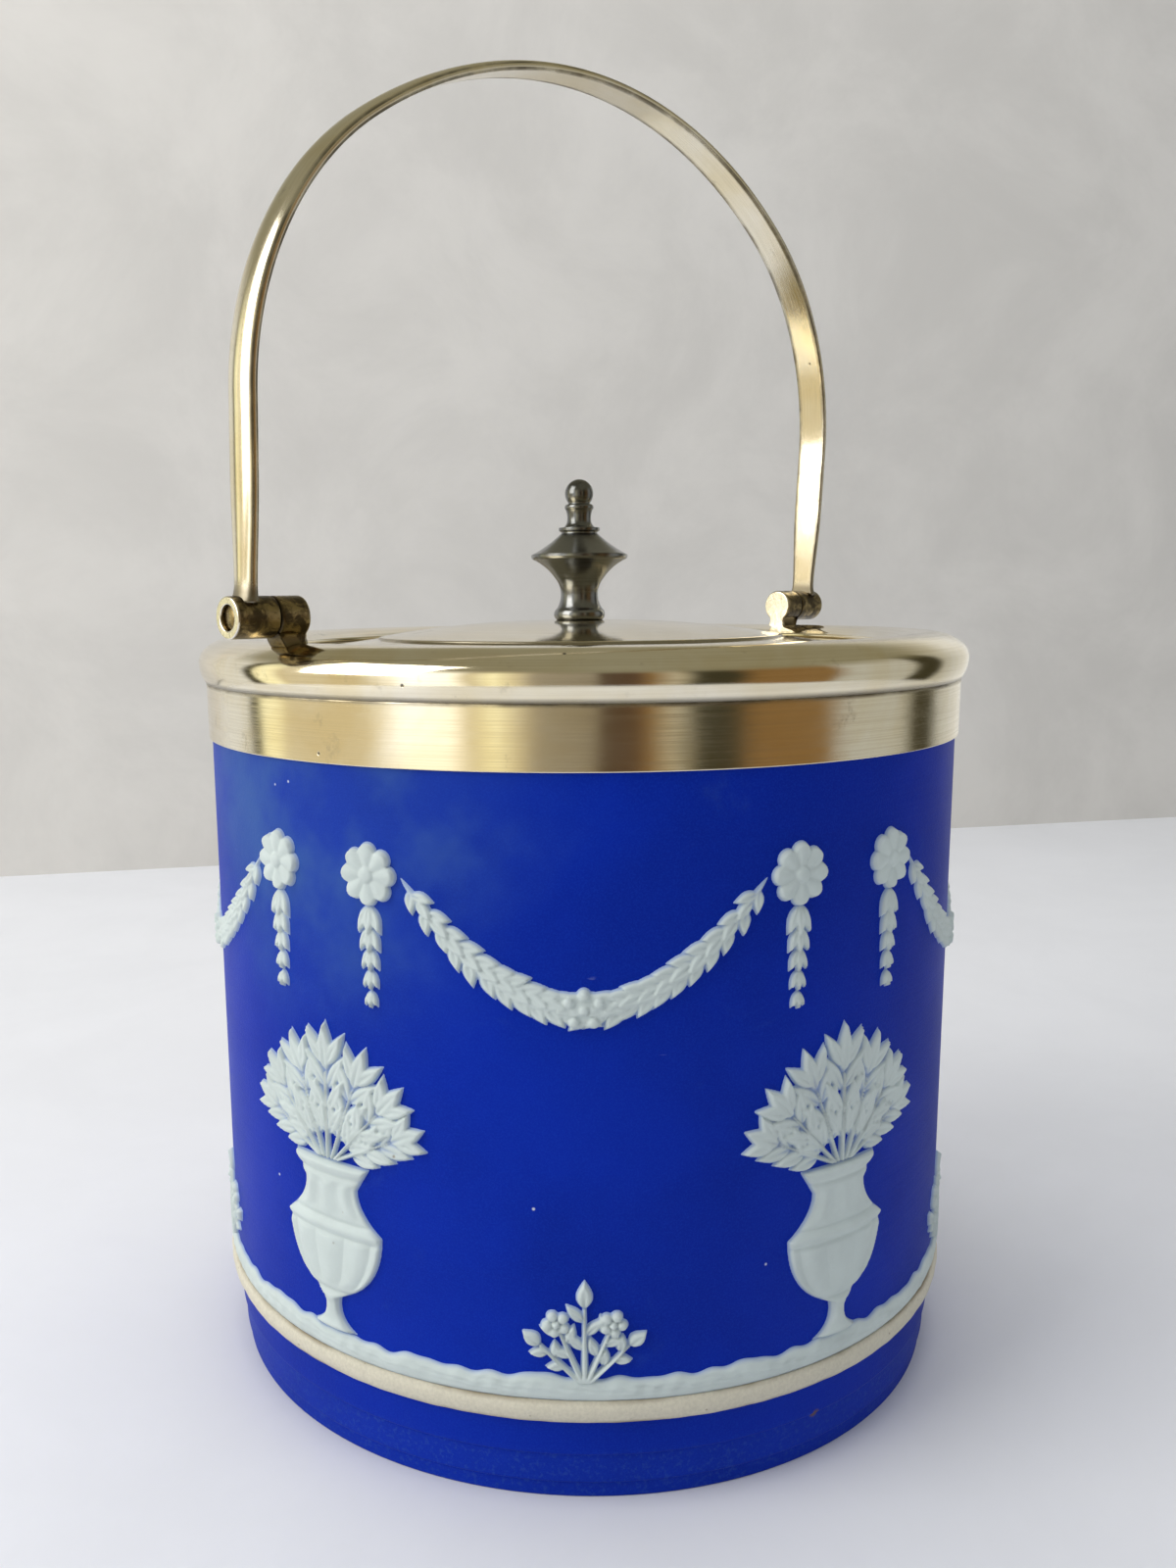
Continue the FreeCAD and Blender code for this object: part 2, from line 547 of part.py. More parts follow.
def make_bow(knuckle):
    """The handle: a strip of flat-backed section along straight legs and a three-centred arch."""
    body = new_body("bow_strip")
    path = new_sketch(body, "bow_path")
    side = "bow_side_radius"
    run = "(bow_half_span - bow_side_radius)"
    crown = blend_radius(run, "arch_rise", side)
    apart = "(%s - %s)" % (crown, side)
    join_x = "%s * %s / %s" % (crown, run, apart)
    join_z = "bow_top - %s + %s * (%s - arch_rise) / %s" % (crown, crown, crown, apart)
    draw(path, [
        ("bow_half_span", "0"), ("bow_half_span", "bow_leg"), (join_x, join_z), ("-" + join_x, join_z),
        ("-bow_half_span", "bow_leg"), ("-bow_half_span", "0")],
        {1: (side, "left"), 2: (crown, "left"), 3: (side, "left")}, closed=False)
    section = new_sketch(body, "bow_section", "XY_Plane")
    inner = "bow_half_span - bow_thickness / 2"
    edge = inner + " + bow_edge"
    back = bow_radius("(bow_width / 2)", "(bow_thickness - bow_edge)")
    draw(section, [(inner, "-bow_width / 2"), (edge, "-bow_width / 2"), (edge, "bow_width / 2"),
                   (inner, "bow_width / 2")], {1: (back, "left")})
    pipe = body.newObject("PartDesign::AdditivePipe", "bow_sweep")
    pipe.Profile = section
    pipe.Spine = (path, [])
    pipe.Transition = "Transformed"
    body.setExpression("Placement.Base.z", tied("hinge_height"))
    body.setExpression("Placement.Rotation.Angle", tied("bow_lean * 1 deg"))
    body.Placement.Rotation = FreeCAD.Rotation(FreeCAD.Vector(1, 0, 0), number("bow_lean"))
    other = mirrored("knuckle_tube_left", knuckle)
    tubes = combined("Part::MultiFuse", "knuckle_tubes", Shapes=[knuckle, other])
    return combined("Part::Cut", "handle_bow", Base=body, Tool=tubes)


def make_lid():
    """The lid: a domed sheet with a fine step, and the flange soldered under it."""
    hole = "stud_radius + stud_fit"
    slope = "((lid_step_height - lid_step_drop - lid_edge_height) / (lid_radius - lid_step_radius))"
    dome_run = "(lid_step_radius - lid_pad_radius)"
    step_top = "lid_step_height - lid_step_drop"
    corners = [
        (hole, "lid_apex - lid_sheet"), ("lid_pad_radius", "lid_apex - lid_sheet"),
        ("lid_step_radius", step_top + " - lid_sheet"), ("lid_radius", "lid_edge_height - lid_sheet"),
        ("lid_radius", "lid_edge_height"), ("lid_step_radius", step_top),
        ("lid_step_radius", "lid_step_height"), ("lid_pad_radius", "lid_apex"), (hole, "lid_apex")]
    under = bow_radius(dome_run, "(lid_apex - lid_step_height + lid_step_drop)")
    edge = "lid_sheet * %s" % HALF_ROUND
    dome = bow_radius(dome_run, "(lid_apex - lid_step_height)")
    plate = revolved("lid_plate", corners, {1: (under, "right"), 3: (edge, "left"), 6: (dome, "left")})
    outer = "(seat_inner_radius - flange_clearance)"
    inner = "(%s - flange_sheet)" % outer
    beneath = "lid_edge_height - lid_sheet + %s * (lid_radius - %s)"
    flange = revolved("lid_flange", [
        (inner, "lid_edge_height - flange_depth"), (outer, "lid_edge_height - flange_depth"),
        (outer, beneath % (slope, outer)), (inner, beneath % (slope, inner))])
    return [plate, flange]


def make_finial():
    """The finial: three turned pieces on a threaded stud, with a washer and a nut under the lid."""
    hole = "stud_radius + stud_fit"
    base = "lid_apex"
    rim = "(lid_apex + spool_height)"
    bead = bow_radius("(spool_bead_height / 2)", "(spool_bead_radius - spool_foot_radius)")
    lower = bow_radius("(spool_waist_height - spool_bead_height)", "(spool_foot_radius - spool_waist_radius)")
    flare_rise = "(spool_flare_height - spool_waist_height)"
    upper = bow_radius(flare_rise, "(spool_flare_radius - spool_waist_radius)")
    spool = revolved("finial_spool", [
        (hole, base), ("spool_foot_radius", base), ("spool_foot_radius", base + " + spool_bead_height"),
        ("spool_waist_radius", base + " + spool_waist_height"),
        ("spool_flare_radius", base + " + spool_flare_height"),
        ("finial_rim_radius - finial_rim_taper", rim + " - finial_rim_edge"), ("finial_rim_radius", rim),
        (hole, rim)],
        {1: (bead, "left"), 2: (lower, "right"), 3: (upper, "right"), 4: ("spool_sweep", "right")})
    top = "(%s + cone_height)" % rim
    collet = top + " - collet_height"
    cone = revolved("finial_cone", [
        (hole, rim), ("finial_rim_radius", rim), ("cone_top_radius", collet + " - collet_taper"),
        ("collet_radius", collet), ("collet_radius", top), (hole, top)],
        {1: ("cone_sweep", "right")})
    ring_top = "(%s + neck_height)" % top
    ring_edge = "ring_radius - ring_taper"
    ball_start = "(%s + ball_seat)" % ring_top
    ball_top = "(%s + sqrt(ball_radius ^ 2 - ball_neck ^ 2) + ball_radius)" % ball_start
    bore_end = "%s - stud_reach + stud_fit" % ring_top
    ball = revolved("finial_ball", [
        ("0", bore_end), (hole, bore_end), (hole, top), ("neck_foot_radius", top),
        ("neck_radius", top + " + neck_foot_height"), (ring_edge, ring_top + " - ring_depth"),
        ("ring_radius", ring_top + " - ring_depth + ring_taper * 2"),
        ("ring_radius", ring_top + " - ring_taper"), ("ball_neck", ring_top), ("ball_neck", ball_start),
        ("0", ball_top)],
        {3: ("neck_foot_round", "right"), 4: ("neck_sweep", "right"), 9: ("ball_radius", "left")})
    washer_bottom = "(lid_apex - lid_sheet - washer_height)"
    washer = ring("finial_washer", hole, "washer_radius", washer_bottom, "lid_apex - lid_sheet")
    nut = new_body("finial_nut")
    sketch = new_sketch(nut, "finial_nut_outline", "XY_Plane")
    reach = "(nut_flats / sqrt(3))"
    draw(sketch, [(reach, "0"), (reach + " / 2", "nut_flats / 2"), ("-" + reach + " / 2", "nut_flats / 2"),
                  ("-" + reach, "0"), ("-" + reach + " / 2", "-nut_flats / 2"),
                  (reach + " / 2", "-nut_flats / 2")])
    circle = sketch.addGeometry(Part.Circle(FreeCAD.Vector(), FreeCAD.Vector(0, 0, 1), number(hole)), False)
    sketch.addConstraint(Sketcher.Constraint("Coincident", circle, 3, -1, 1))
    rule = sketch.addConstraint(Sketcher.Constraint("Radius", circle, number(hole)))
    sketch.setExpression("Constraints[%d]" % rule, tied(hole))
    pad = nut.newObject("PartDesign::Pad", "finial_nut_pad")
    pad.Profile = sketch
    pad.setExpression("Length", tied("nut_height"))
    nut.setExpression("Placement.Base.z", tied("%s - nut_height" % washer_bottom))
    stud_bottom = "(%s - nut_height - stud_end)" % washer_bottom
    stud_top = "%s - stud_reach" % ring_top
    stud = revolved("finial_stud", [
        ("0", stud_bottom), ("stud_radius", stud_bottom), ("stud_radius", stud_top), ("0", stud_top)])
    return [spool, cone, ball, washer, nut, stud]


def main():
    """Builds every piece, checks it and writes it."""
    nodes = [make_jar_body()] + make_bands() + make_relief()
    form, mount = make_mount()
    knuckle, hinge = make_hinge(form)
    nodes += mount + hinge + [make_bow(knuckle)] + make_lid() + make_finial()
    doc.recompute()
    for item in doc.Objects:
        if {"Invalid", "Error"} & set(item.State):
            raise RuntimeError("%s failed: %s" % (item.Label, item.State))
    os.makedirs("parts", exist_ok=True)
    for node in nodes:
        shape = node.Shape
        if shape.isNull() or not shape.isValid() or not shape.Solids:
            raise RuntimeError("%s has no valid solid" % node.Label)
    for node in nodes:
        node.Shape.exportStep("parts/%s.step" % node.Label)
        box = node.Shape.BoundBox
        print("%-22s solids %2d  volume %9.1f  x %.1f..%.1f  y %.1f..%.1f  z %.1f..%.1f" % (
            node.Label, len(node.Shape.Solids), node.Shape.Volume,
            box.XMin, box.XMax, box.YMin, box.YMax, box.ZMin, box.ZMax))


main()
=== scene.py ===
import math

import bmesh
import bpy
import numpy as np
from bpy.props import FloatProperty, FloatVectorProperty, IntProperty, PointerProperty
from mathutils import Matrix, Vector


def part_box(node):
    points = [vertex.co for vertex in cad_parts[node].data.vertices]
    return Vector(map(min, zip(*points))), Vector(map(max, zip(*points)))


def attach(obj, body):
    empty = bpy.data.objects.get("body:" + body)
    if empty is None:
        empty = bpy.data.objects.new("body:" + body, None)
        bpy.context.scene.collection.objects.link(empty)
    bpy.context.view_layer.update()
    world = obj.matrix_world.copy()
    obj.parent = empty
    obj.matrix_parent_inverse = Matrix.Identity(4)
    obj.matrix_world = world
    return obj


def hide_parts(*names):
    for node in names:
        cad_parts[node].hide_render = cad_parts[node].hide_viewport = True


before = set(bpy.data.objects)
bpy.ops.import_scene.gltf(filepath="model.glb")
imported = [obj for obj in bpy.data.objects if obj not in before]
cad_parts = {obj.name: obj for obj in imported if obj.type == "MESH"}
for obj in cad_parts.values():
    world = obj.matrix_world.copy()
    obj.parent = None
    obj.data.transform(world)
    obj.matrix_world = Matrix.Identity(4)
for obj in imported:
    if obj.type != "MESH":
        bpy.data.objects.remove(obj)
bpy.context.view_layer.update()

bl_info = {
    "name": "Biscuit Jar",
    "version": (1, 0, 0),
    "blender": (4, 5, 0),
    "location": "View3D > Sidebar > Biscuit Jar",
    "description": "Builds the looks of a stoneware biscuit jar with a plated mount, lid and swing handle",
    "category": "Add Mesh",
}

MM = 0.001
JAR, HANDLE, LID = "jar", "handle", "lid"
BLUE, CREAM, WHITE = "stoneware_blue", "clay_cream", "clay_white"
PLATE, BRASS, PEWTER = "plate_warm", "brass_tarnished", "pewter_dark"

TUBE = 3.0 * MM                 # outer radius of the hinge tubes
URN_TALL, URN_HALF = 27.0 * MM, 9.6 * MM
GARLAND_HALF, GARLAND_SAG, GARLAND_DEEP = 25.0 * MM, 17.0 * MM, 6.4 * MM
ROSETTE = 4.6 * MM              # a rosette's radius
STUD_HOLE = 1.3 * MM            # radius of the hole for the finial's stud
OUTSIDE = -0.25 * MM            # the height of a relief field where there is no relief
CORNER_POINTS = 8               # points that a rounded corner of an outline has


def reach(node):
    """A node's largest distance from the jar's axis, along X."""
    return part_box(node)[1].x


def low(node):
    """The height of a node's lower end."""
    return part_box(node)[0].z


def top(node):
    """The height of a node's upper end."""
    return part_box(node)[1].z


def length(name, default, description):
    """A length that a user may change, in metres."""
    return FloatProperty(name=name, default=default, description=description, min=0.0, unit="LENGTH",
                         subtype="DISTANCE", precision=5)


def rotation(name, degrees, description):
    """An angle that a user may change, given here in degrees."""
    return FloatProperty(name=name, default=math.radians(degrees), description=description,
                         subtype="ANGLE", unit="ROTATION")


def colour(name, default, description):
    """A colour that a user may change."""
    return FloatVectorProperty(name=name, default=default, description=description, size=3, min=0.0, max=1.0,
                               subtype="COLOR")


class JarSizes(bpy.types.PropertyGroup):
    """The sizes of the jar's body and mount."""
    radius: length("Body radius", reach("jar_body"), "Outer radius of the stoneware")
    wall: length("Wall", 5.2 * MM, "Thickness of the stoneware wall")
    floor: length("Floor", 6.5 * MM, "Height of the inside floor")
    band: length("Band", 1.0 * MM, "How far the cream band stands out")
    sheet: length("Sheet", 0.8 * MM, "Thickness of the plated sheet")
    lip: length("Lip radius", 52.0 * MM, "Radius of the opening in the shoulder")
    lip_height: length("Lip height", top("shoulder_ring") - 1.4 * MM, "Height of the opening's edge")
    crest: length("Crest radius", 59.4 * MM, "Radius of the shoulder's highest line")
    widest: length("Widest height", 118.3 * MM, "Height of the shoulder's largest radius")
    lid_step: length("Lid step", 35.0 * MM, "Radius of the fine step turned in the lid")
    lid_pad: length("Lid pad", 4.8 * MM, "Radius of the flat under the finial")


class HingeSizes(bpy.types.PropertyGroup):
    """The sizes of the hinges and the handle."""
    height: length("Hinge height", top("right_hinge_lug") - TUBE, "Height of the hinge line")
    tube: length("Tube radius", TUBE, "Outer radius of the hinge tubes")
    pin: length("Pin radius", 1.75 * MM, "Radius of the hinge pins")
    span: length("Half span", 67.5 * MM, "Half of the handle's width, at the middle of its strip")
    leg: length("Leg", 30.4 * MM, "Height of the handle's straight legs")
    rise: length("Rise", 84.4 * MM, "Height of the handle's top over the hinge line")
    side: length("Side radius", 47.7 * MM, "Radius of the sides of the handle's arch")
    width: length("Width", 6.0 * MM, "Width of the handle's strip")
    foot: length("Foot width", 4.5 * MM, "Width of the strip where it stands on its knuckle")
    thickness: length("Thickness", 1.7 * MM, "Thickness of the strip at its middle")
    edge: length("Edge", 0.7 * MM, "Thickness of the strip at its edges")
    lean: rotation("Lean", 3.0, "Lean of the handle from upright")


class ReliefSizes(bpy.types.PropertyGroup):
    """The sizes of the applied relief."""
    proud: length("Relief", 1.1 * MM, "How far the relief stands out")
    cell: length("Cell", 0.2 * MM, "Width of one cell of the relief's surface")
    draft: length("Draft", 0.5 * MM, "Width of the relief's sloping edge")
    count: IntProperty(name="Urns", default=5, min=1, max=9, description="Urns around the jar")
    turn: rotation("Turn", 44.4, "Direction of the first urn")


class JarColours(bpy.types.PropertyGroup):
    """The colours of the finishes."""
    cobalt: colour("Cobalt", (0.0015, 0.023, 0.39), "Fired cobalt stoneware")
    # Paler cobalt, also used for the painted sheen of the window's light on the left of the body.
    cobalt_worn_and_sheen: colour("Worn cobalt", (0.040, 0.105, 0.36), "Cobalt where it is rubbed or chalky")
    white: colour("White", (0.62, 0.70, 0.68), "White relief clay")
    cream: colour("Cream", (0.70, 0.66, 0.53), "Cream band clay")
    plate: colour("Plate", (0.82, 0.72, 0.50), "Worn warm plate")
    plate_pale: colour("Pale plate", (0.90, 0.85, 0.72), "Plate where the silver is whole")
    brass: colour("Brass", (0.42, 0.32, 0.15), "Bare brass of the hinges")
    tarnish: colour("Tarnish", (0.045, 0.034, 0.020), "Dark tarnish in corners and seams")
    pewter: colour("Pewter", (0.23, 0.235, 0.235), "Grey satin metal of the finial")


# Meshes

def solid(name, vertices, quads, uv=None):
    """A smooth mesh object from an array of points and an array of four corners for each face."""
    mesh = bpy.data.meshes.new(name)
    mesh.vertices.add(len(vertices))
    mesh.vertices.foreach_set("co", np.asarray(vertices, np.float32).ravel())
    mesh.loops.add(quads.size)
    mesh.loops.foreach_set("vertex_index", quads.astype(np.int32).ravel())
    mesh.polygons.add(len(quads))
    mesh.polygons.foreach_set("loop_start", np.arange(0, quads.size, 4, dtype=np.int32))
    if uv is not None:
        layer = mesh.uv_layers.new(name="Way")
        layer.uv.foreach_set("vector", uv[quads.ravel()].astype(np.float32).ravel())
    mesh.update(calc_edges=True)
    mesh.validate()
    mesh.shade_smooth()
    piece = bpy.data.objects.new(name, mesh)
    bpy.context.scene.collection.objects.link(piece)
    return piece


def surface(name, points, wrap=(True, True), uv=None):
    """A mesh on a grid of points (rows, columns, 3). Each direction closes on itself where wrap says so.

    A face's normal is the row direction crossed with the column direction."""
    rows, columns = points.shape[:2]
    index = np.arange(rows * columns).reshape(rows, columns)
    near = index if wrap[0] else index[:-1]
    far = np.roll(index, -1, axis=0) if wrap[0] else index[1:]

    def pair(grid):
        """Each corner and the next one along its row."""
        return (grid, np.roll(grid, -1, axis=1)) if wrap[1] else (grid[:, :-1], grid[:, 1:])

    (a, d), (b, c) = pair(near), pair(far)
    quads = np.stack([a, b, c, d], axis=-1).reshape(-1, 4)
    return solid(name, points.reshape(-1, 3), quads, None if uv is None else uv.reshape(-1, 2))


def weld(piece, gap=1e-7):
    """Merges the points that lie on each other, such as those of a pole."""
    work = bmesh.new()
    work.from_mesh(piece.data)
    bmesh.ops.remove_doubles(work, verts=work.verts, dist=gap)
    bmesh.ops.dissolve_degenerate(work, edges=work.edges, dist=gap)
    work.to_mesh(piece.data)
    work.free()
    piece.data.shade_smooth()
    return piece


def arc(start, end, radius, steps=14):
    """Points of a circle's arc from start to end. A positive radius turns left and a negative one right.

    The centre lies across the chord's middle by the root of radius squared less half chord squared."""
    start, end = np.array(start, float), np.array(end, float)
    chord = end - start
    span = np.hypot(*chord)
    side = math.copysign(1.0, radius)
    across = np.array([-chord[1], chord[0]]) / span * side
    centre = (start + end) / 2 + across * math.sqrt(max(radius ** 2 - span ** 2 / 4, 0.0))
    first = math.atan2(start[1] - centre[1], start[0] - centre[0])
    turn = 2 * math.asin(min(1.0, span / 2 / abs(radius))) * side
    angle = first + turn * np.linspace(0, 1, steps + 1)
    return centre + abs(radius) * np.stack([np.cos(angle), np.sin(angle)], axis=1)


def bow(half_chord, rise):
    """The radius of an arc that rises this far over half of its chord."""
    return (half_chord ** 2 + rise ** 2) / (2 * rise)


def eased(before, corner, after, soft):
    """A rounded corner: a quadratic curve over the distance soft on each side, with a point beyond each end
    that keeps the flats beside it flat."""
    back, on = before - corner, after - corner
    if min(np.hypot(*back), np.hypot(*on)) < 1e-9:
        return corner[None]
    first = corner + back * min(soft / np.hypot(*back), 0.4)
    last = corner + on * min(soft / np.hypot(*on), 0.4)
    share = np.linspace(0, 1, CORNER_POINTS - 2)[:, None]
    curve = (1 - share) ** 2 * first + 2 * share * (1 - share) * corner + share ** 2 * last
    return np.vstack([first + (first - corner) * 0.25, curve, last + (last - corner) * 0.25])


def outline(items, soft):
    """A closed outline of radii and heights. A pair is a corner, which gets CORNER_POINTS points rounded
    over soft unless it lies on the axis, and an array of points is kept as it is."""
    items = [np.atleast_2d(np.array(item, float)) for item in items]
    parts = []
    for index, item in enumerate(items):
        if len(item) > 1 or item[0, 0] <= 0:
            parts.append(item)
        else:
            parts.append(eased(items[index - 1][-1], item[0], items[(index + 1) % len(items)][0], soft))
    return np.vstack(parts)


def circle(count):
    """Equal steps round a circle, as an array of angles."""
    return np.arange(count) * (2 * np.pi / count)


def turned(name, profile, count=512, axis="Z", wobble=None):
    """A surface of revolution: each outline point (radius, place) goes round the axis in equal steps.

    Point = (radius cos a, radius sin a, place), in cyclic order for the X axis. wobble(a, place) is added to
    the radius."""
    angle = circle(count)[:, None]
    radius, place = profile[None, :, 0], profile[None, :, 1]
    if wobble is not None:
        radius = radius + wobble(angle, place)
    radius, place = radius + 0 * angle, place + 0 * angle
    flat = [radius * np.cos(angle), radius * np.sin(angle), place]
    points = np.stack(flat if axis == "Z" else flat[2:] + flat[:2], axis=-1)
    closed = profile[0, 0] > 0
    piece = surface(name, points, (True, closed))
    return piece if closed else weld(piece)


def ripple(angle, waves, size, seed):
    """A closed wavy line: a sum of sines, each with a whole number of waves and a seeded phase."""
    phases = np.random.default_rng(seed).uniform(0, 2 * np.pi, len(waves))
    return size * sum(np.sin(wave * angle + phase) for wave, phase in zip(waves, phases)) / len(waves)


def smooth(value):
    """The smooth step from 0 to 1."""
    value = np.clip(value, 0, 1)
    return value * value * (3 - 2 * value)


def fit(piece, body, slot, finish, *nodes):
    """Gives a piece its finish and its body, and hides the nodes that it stands for. The slot is not used.
    """
    piece.data.materials.append(finish)
    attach(piece, body)
    if nodes:
        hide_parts(*nodes)
    return piece


def refinish(node, finish):
    """Gives a solid that keeps its own shape another finish."""
    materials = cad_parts[node].data.materials
    materials.clear()
    materials.append(finish)


# Finishes

def add_node(tree, kind, inputs=None, **settings):
    """A node with its settings, and its inputs set to numbers or linked to sockets."""
    node = tree.nodes.new(kind)
    for name, value in settings.items():
        setattr(node, name, value)
    for name, value in (inputs or {}).items():
        if isinstance(value, bpy.types.NodeSocket):
            tree.links.new(value, node.inputs[name])
        else:
            node.inputs[name].default_value = value
    return node


def mix_colours(tree, share, first, second):
    """A colour between two colours: first + share * (second - first). Each is a socket or three numbers."""
    first, second = [value if isinstance(value, bpy.types.NodeSocket) else (*value, 1.0)
                     for value in (first, second)]
    return add_node(tree, "ShaderNodeMix", {0: share, 6: first, 7: second}, data_type="RGBA").outputs[2]


class Finish:
    """A node material in the making. Most calls add a node and return its output socket."""

    def __init__(self, name):
        self.material = bpy.data.materials.new(name)
        self.material.use_nodes = True
        self.tree = self.material.node_tree
        self.shader = self.tree.nodes["Principled BSDF"]
        self.place = self.add("ShaderNodeTexCoord").outputs["Object"]

    def add(self, kind, inputs=None, **settings):
        """A node of this material, whole, for those with more than one output in use."""
        return add_node(self.tree, kind, inputs, **settings)

    def math(self, operation, first, second=0.0, third=0.0):
        """One arithmetic step."""
        return self.add("ShaderNodeMath", {0: first, 1: second, 2: third}, operation=operation).outputs[0]

    def split(self, vector=None):
        """The three parts of a vector."""
        return self.add("ShaderNodeSeparateXYZ", {0: vector or self.place}).outputs

    def join(self, across, along, up):
        """A vector from three parts."""
        return self.add("ShaderNodeCombineXYZ", {0: across, 1: along, 2: up}).outputs[0]

    def stretched(self, scales):
        """The place, scaled by different amounts along X, Y and Z."""
        return self.add("ShaderNodeMapping", {"Vector": self.place, "Scale": scales}).outputs[0]

    def noise(self, scale, detail=3.0, roughness=0.5, vector=None, warp=0.0):
        """Soft noise around 0.5, with scale in features per metre."""
        return self.add("ShaderNodeTexNoise", {
            "Vector": vector or self.place, "Scale": scale, "Detail": detail, "Roughness": roughness,
            "Distortion": warp}).outputs["Fac"]

    def dots(self, scale, size, share, vector=None):
        """Scattered dots: 1 within size of a cell's point, in that share of the cells."""
        node = self.add("ShaderNodeTexVoronoi", {"Vector": vector or self.place, "Scale": scale})
        near = self.ramp(node.outputs["Distance"], size, size * 0.4)
        pick = self.math("LESS_THAN", self.split(node.outputs["Color"])[0], share)
        return self.math("MULTIPLY", near, pick)

    def ramp(self, value, low_end, high_end, least=0.0, most=1.0):
        """A smooth step from least at low_end to most at high_end."""
        return self.add("ShaderNodeMapRange", {
            "Value": value, "From Min": low_end, "From Max": high_end, "To Min": least, "To Max": most},
            interpolation_type="SMOOTHSTEP").outputs[0]

    def near(self, place, size, edge):
        """1 within size of a place, fading over edge, with a ragged border."""
        measure = self.add("ShaderNodeVectorMath", {0: self.place, 1: place}, operation="DISTANCE")
        offset = measure.outputs["Value"]
        ragged = self.math("MULTIPLY_ADD", self.noise(1.3 / edge, 4.0, 0.6), edge, -edge / 2)
        return self.ramp(self.math("ADD", offset, ragged), size + edge / 2, size - edge / 2)

    def blend(self, share, first, second):
        """A colour between two colours."""
        return mix_colours(self.tree, share, first, second)

    def bumps(self, *layers):
        """Bumps on each other. Each layer is (height, depth in metres)."""
        normal = None
        for height, depth in layers:
            inputs = {"Height": height, "Distance": depth, "Strength": 1.0}
            if normal is not None:
                inputs["Normal"] = normal
            normal = self.add("ShaderNodeBump", inputs).outputs[0]
        return normal

    def done(self, **sockets):
        """Sets the shader's sockets, named with underscores, and returns the material."""
        for name, value in sockets.items():
            socket = self.shader.inputs[name.replace("_", " ")]
            if isinstance(value, bpy.types.NodeSocket):
                self.tree.links.new(value, socket)
            else:
                socket.default_value = value
        return self.material


def once(make):
    """Makes a finish the first time that it is asked for, and gives the same one later."""
    made = {}

    def give():
        """The one finish."""
        if make.__name__ not in made:
            made[make.__name__] = make()
        return made[make.__name__]

    return give


def off_axis(look):
    """The distance of the place from the jar's axis."""
    across, along = look.split()[:2]
    squares = look.math("ADD", look.math("MULTIPLY", across, across), look.math("MULTIPLY", along, along))
    return look.math("SQRT", squares)


@once
def cobalt_finish():
    """Matte fired cobalt: fine grain, faint turning lines, pale specks, rubbed edges, and a pale patch on
    the left that is partly a chalky haze and partly painted sheen of the window's light.
    """
    tint = bpy.context.scene.jar_colours
    haze_and_sheen_place, haze_and_sheen_size = (-0.0625, -0.004, 0.104), 0.030
    chip_place, chip_size = (-0.0130, -0.0611, 0.0072), 0.7 * MM
    look = Finish("cobalt_stoneware")
    cloud = look.noise(22.0, 4.0, 0.6)
    grain = look.noise(3800.0, 3.0, 0.65)
    speck = look.noise(1400.0, 2.0, 0.6)
    turning = look.noise(1.0, 3.0, 0.6, look.stretched((6.0, 6.0, 900.0)))
    up = look.split()[2]
    deep = look.blend(look.ramp(cloud, 0.3, 0.7), tint.cobalt, tuple(0.74 * part for part in tint.cobalt))
    deep = look.blend(look.ramp(grain, 0.40, 0.70, 0.0, 0.40), deep, (0.006, 0.045, 0.46))
    rubbed = look.ramp(look.noise(70.0, 5.0, 0.7, warp=0.6), 0.60, 0.85, 0.0, 0.25)
    # Painted sheen of the window's light, mixed with a chalky haze, in a patch on the left of the body.
    haze_and_sheen = look.math("MULTIPLY", look.near(haze_and_sheen_place, haze_and_sheen_size, haze_and_sheen_size),
                     look.ramp(look.noise(42.0, 4.0, 0.55), 0.36, 0.60, 0.25, 0.95))
    worn_and_sheen = look.math("MAXIMUM", rubbed, haze_and_sheen)
    foot = look.math("MULTIPLY", look.ramp(up, 0.0085, 0.0065), look.ramp(speck, 0.50, 0.70, 0.05, 0.30))
    worn_and_sheen = look.math("MAXIMUM", worn_and_sheen, foot)
    # Paler cobalt for rubbed wear and the pale foot, and painted sheen in the patch on the left.
    body = look.blend(worn_and_sheen, deep, tint.cobalt_worn_and_sheen)
    chip = look.near(chip_place, chip_size, 0.6 * MM)
    body = look.blend(chip, body, (0.16, 0.10, 0.07))
    flecks = look.dots(300.0, 0.09, 0.018)
    scratches = look.noise(1.0, 2.0, 0.5, look.stretched((120.0, 160.0, 900.0)))
    scuffs = look.math("MULTIPLY", look.ramp(scratches, 0.74, 0.80),
                       look.ramp(look.noise(45.0), 0.55, 0.7, 0.0, 0.5))
    body = look.blend(look.math("MAXIMUM", flecks, scuffs), body, (0.55, 0.60, 0.70))
    rough = look.ramp(cloud, 0.2, 0.8, 0.40, 0.50)
    return look.done(Base_Color=body, Roughness=rough, Specular_IOR_Level=0.06,
                     Normal=look.bumps((turning, 0.05 * MM), (grain, 0.035 * MM), (speck, 0.03 * MM)))


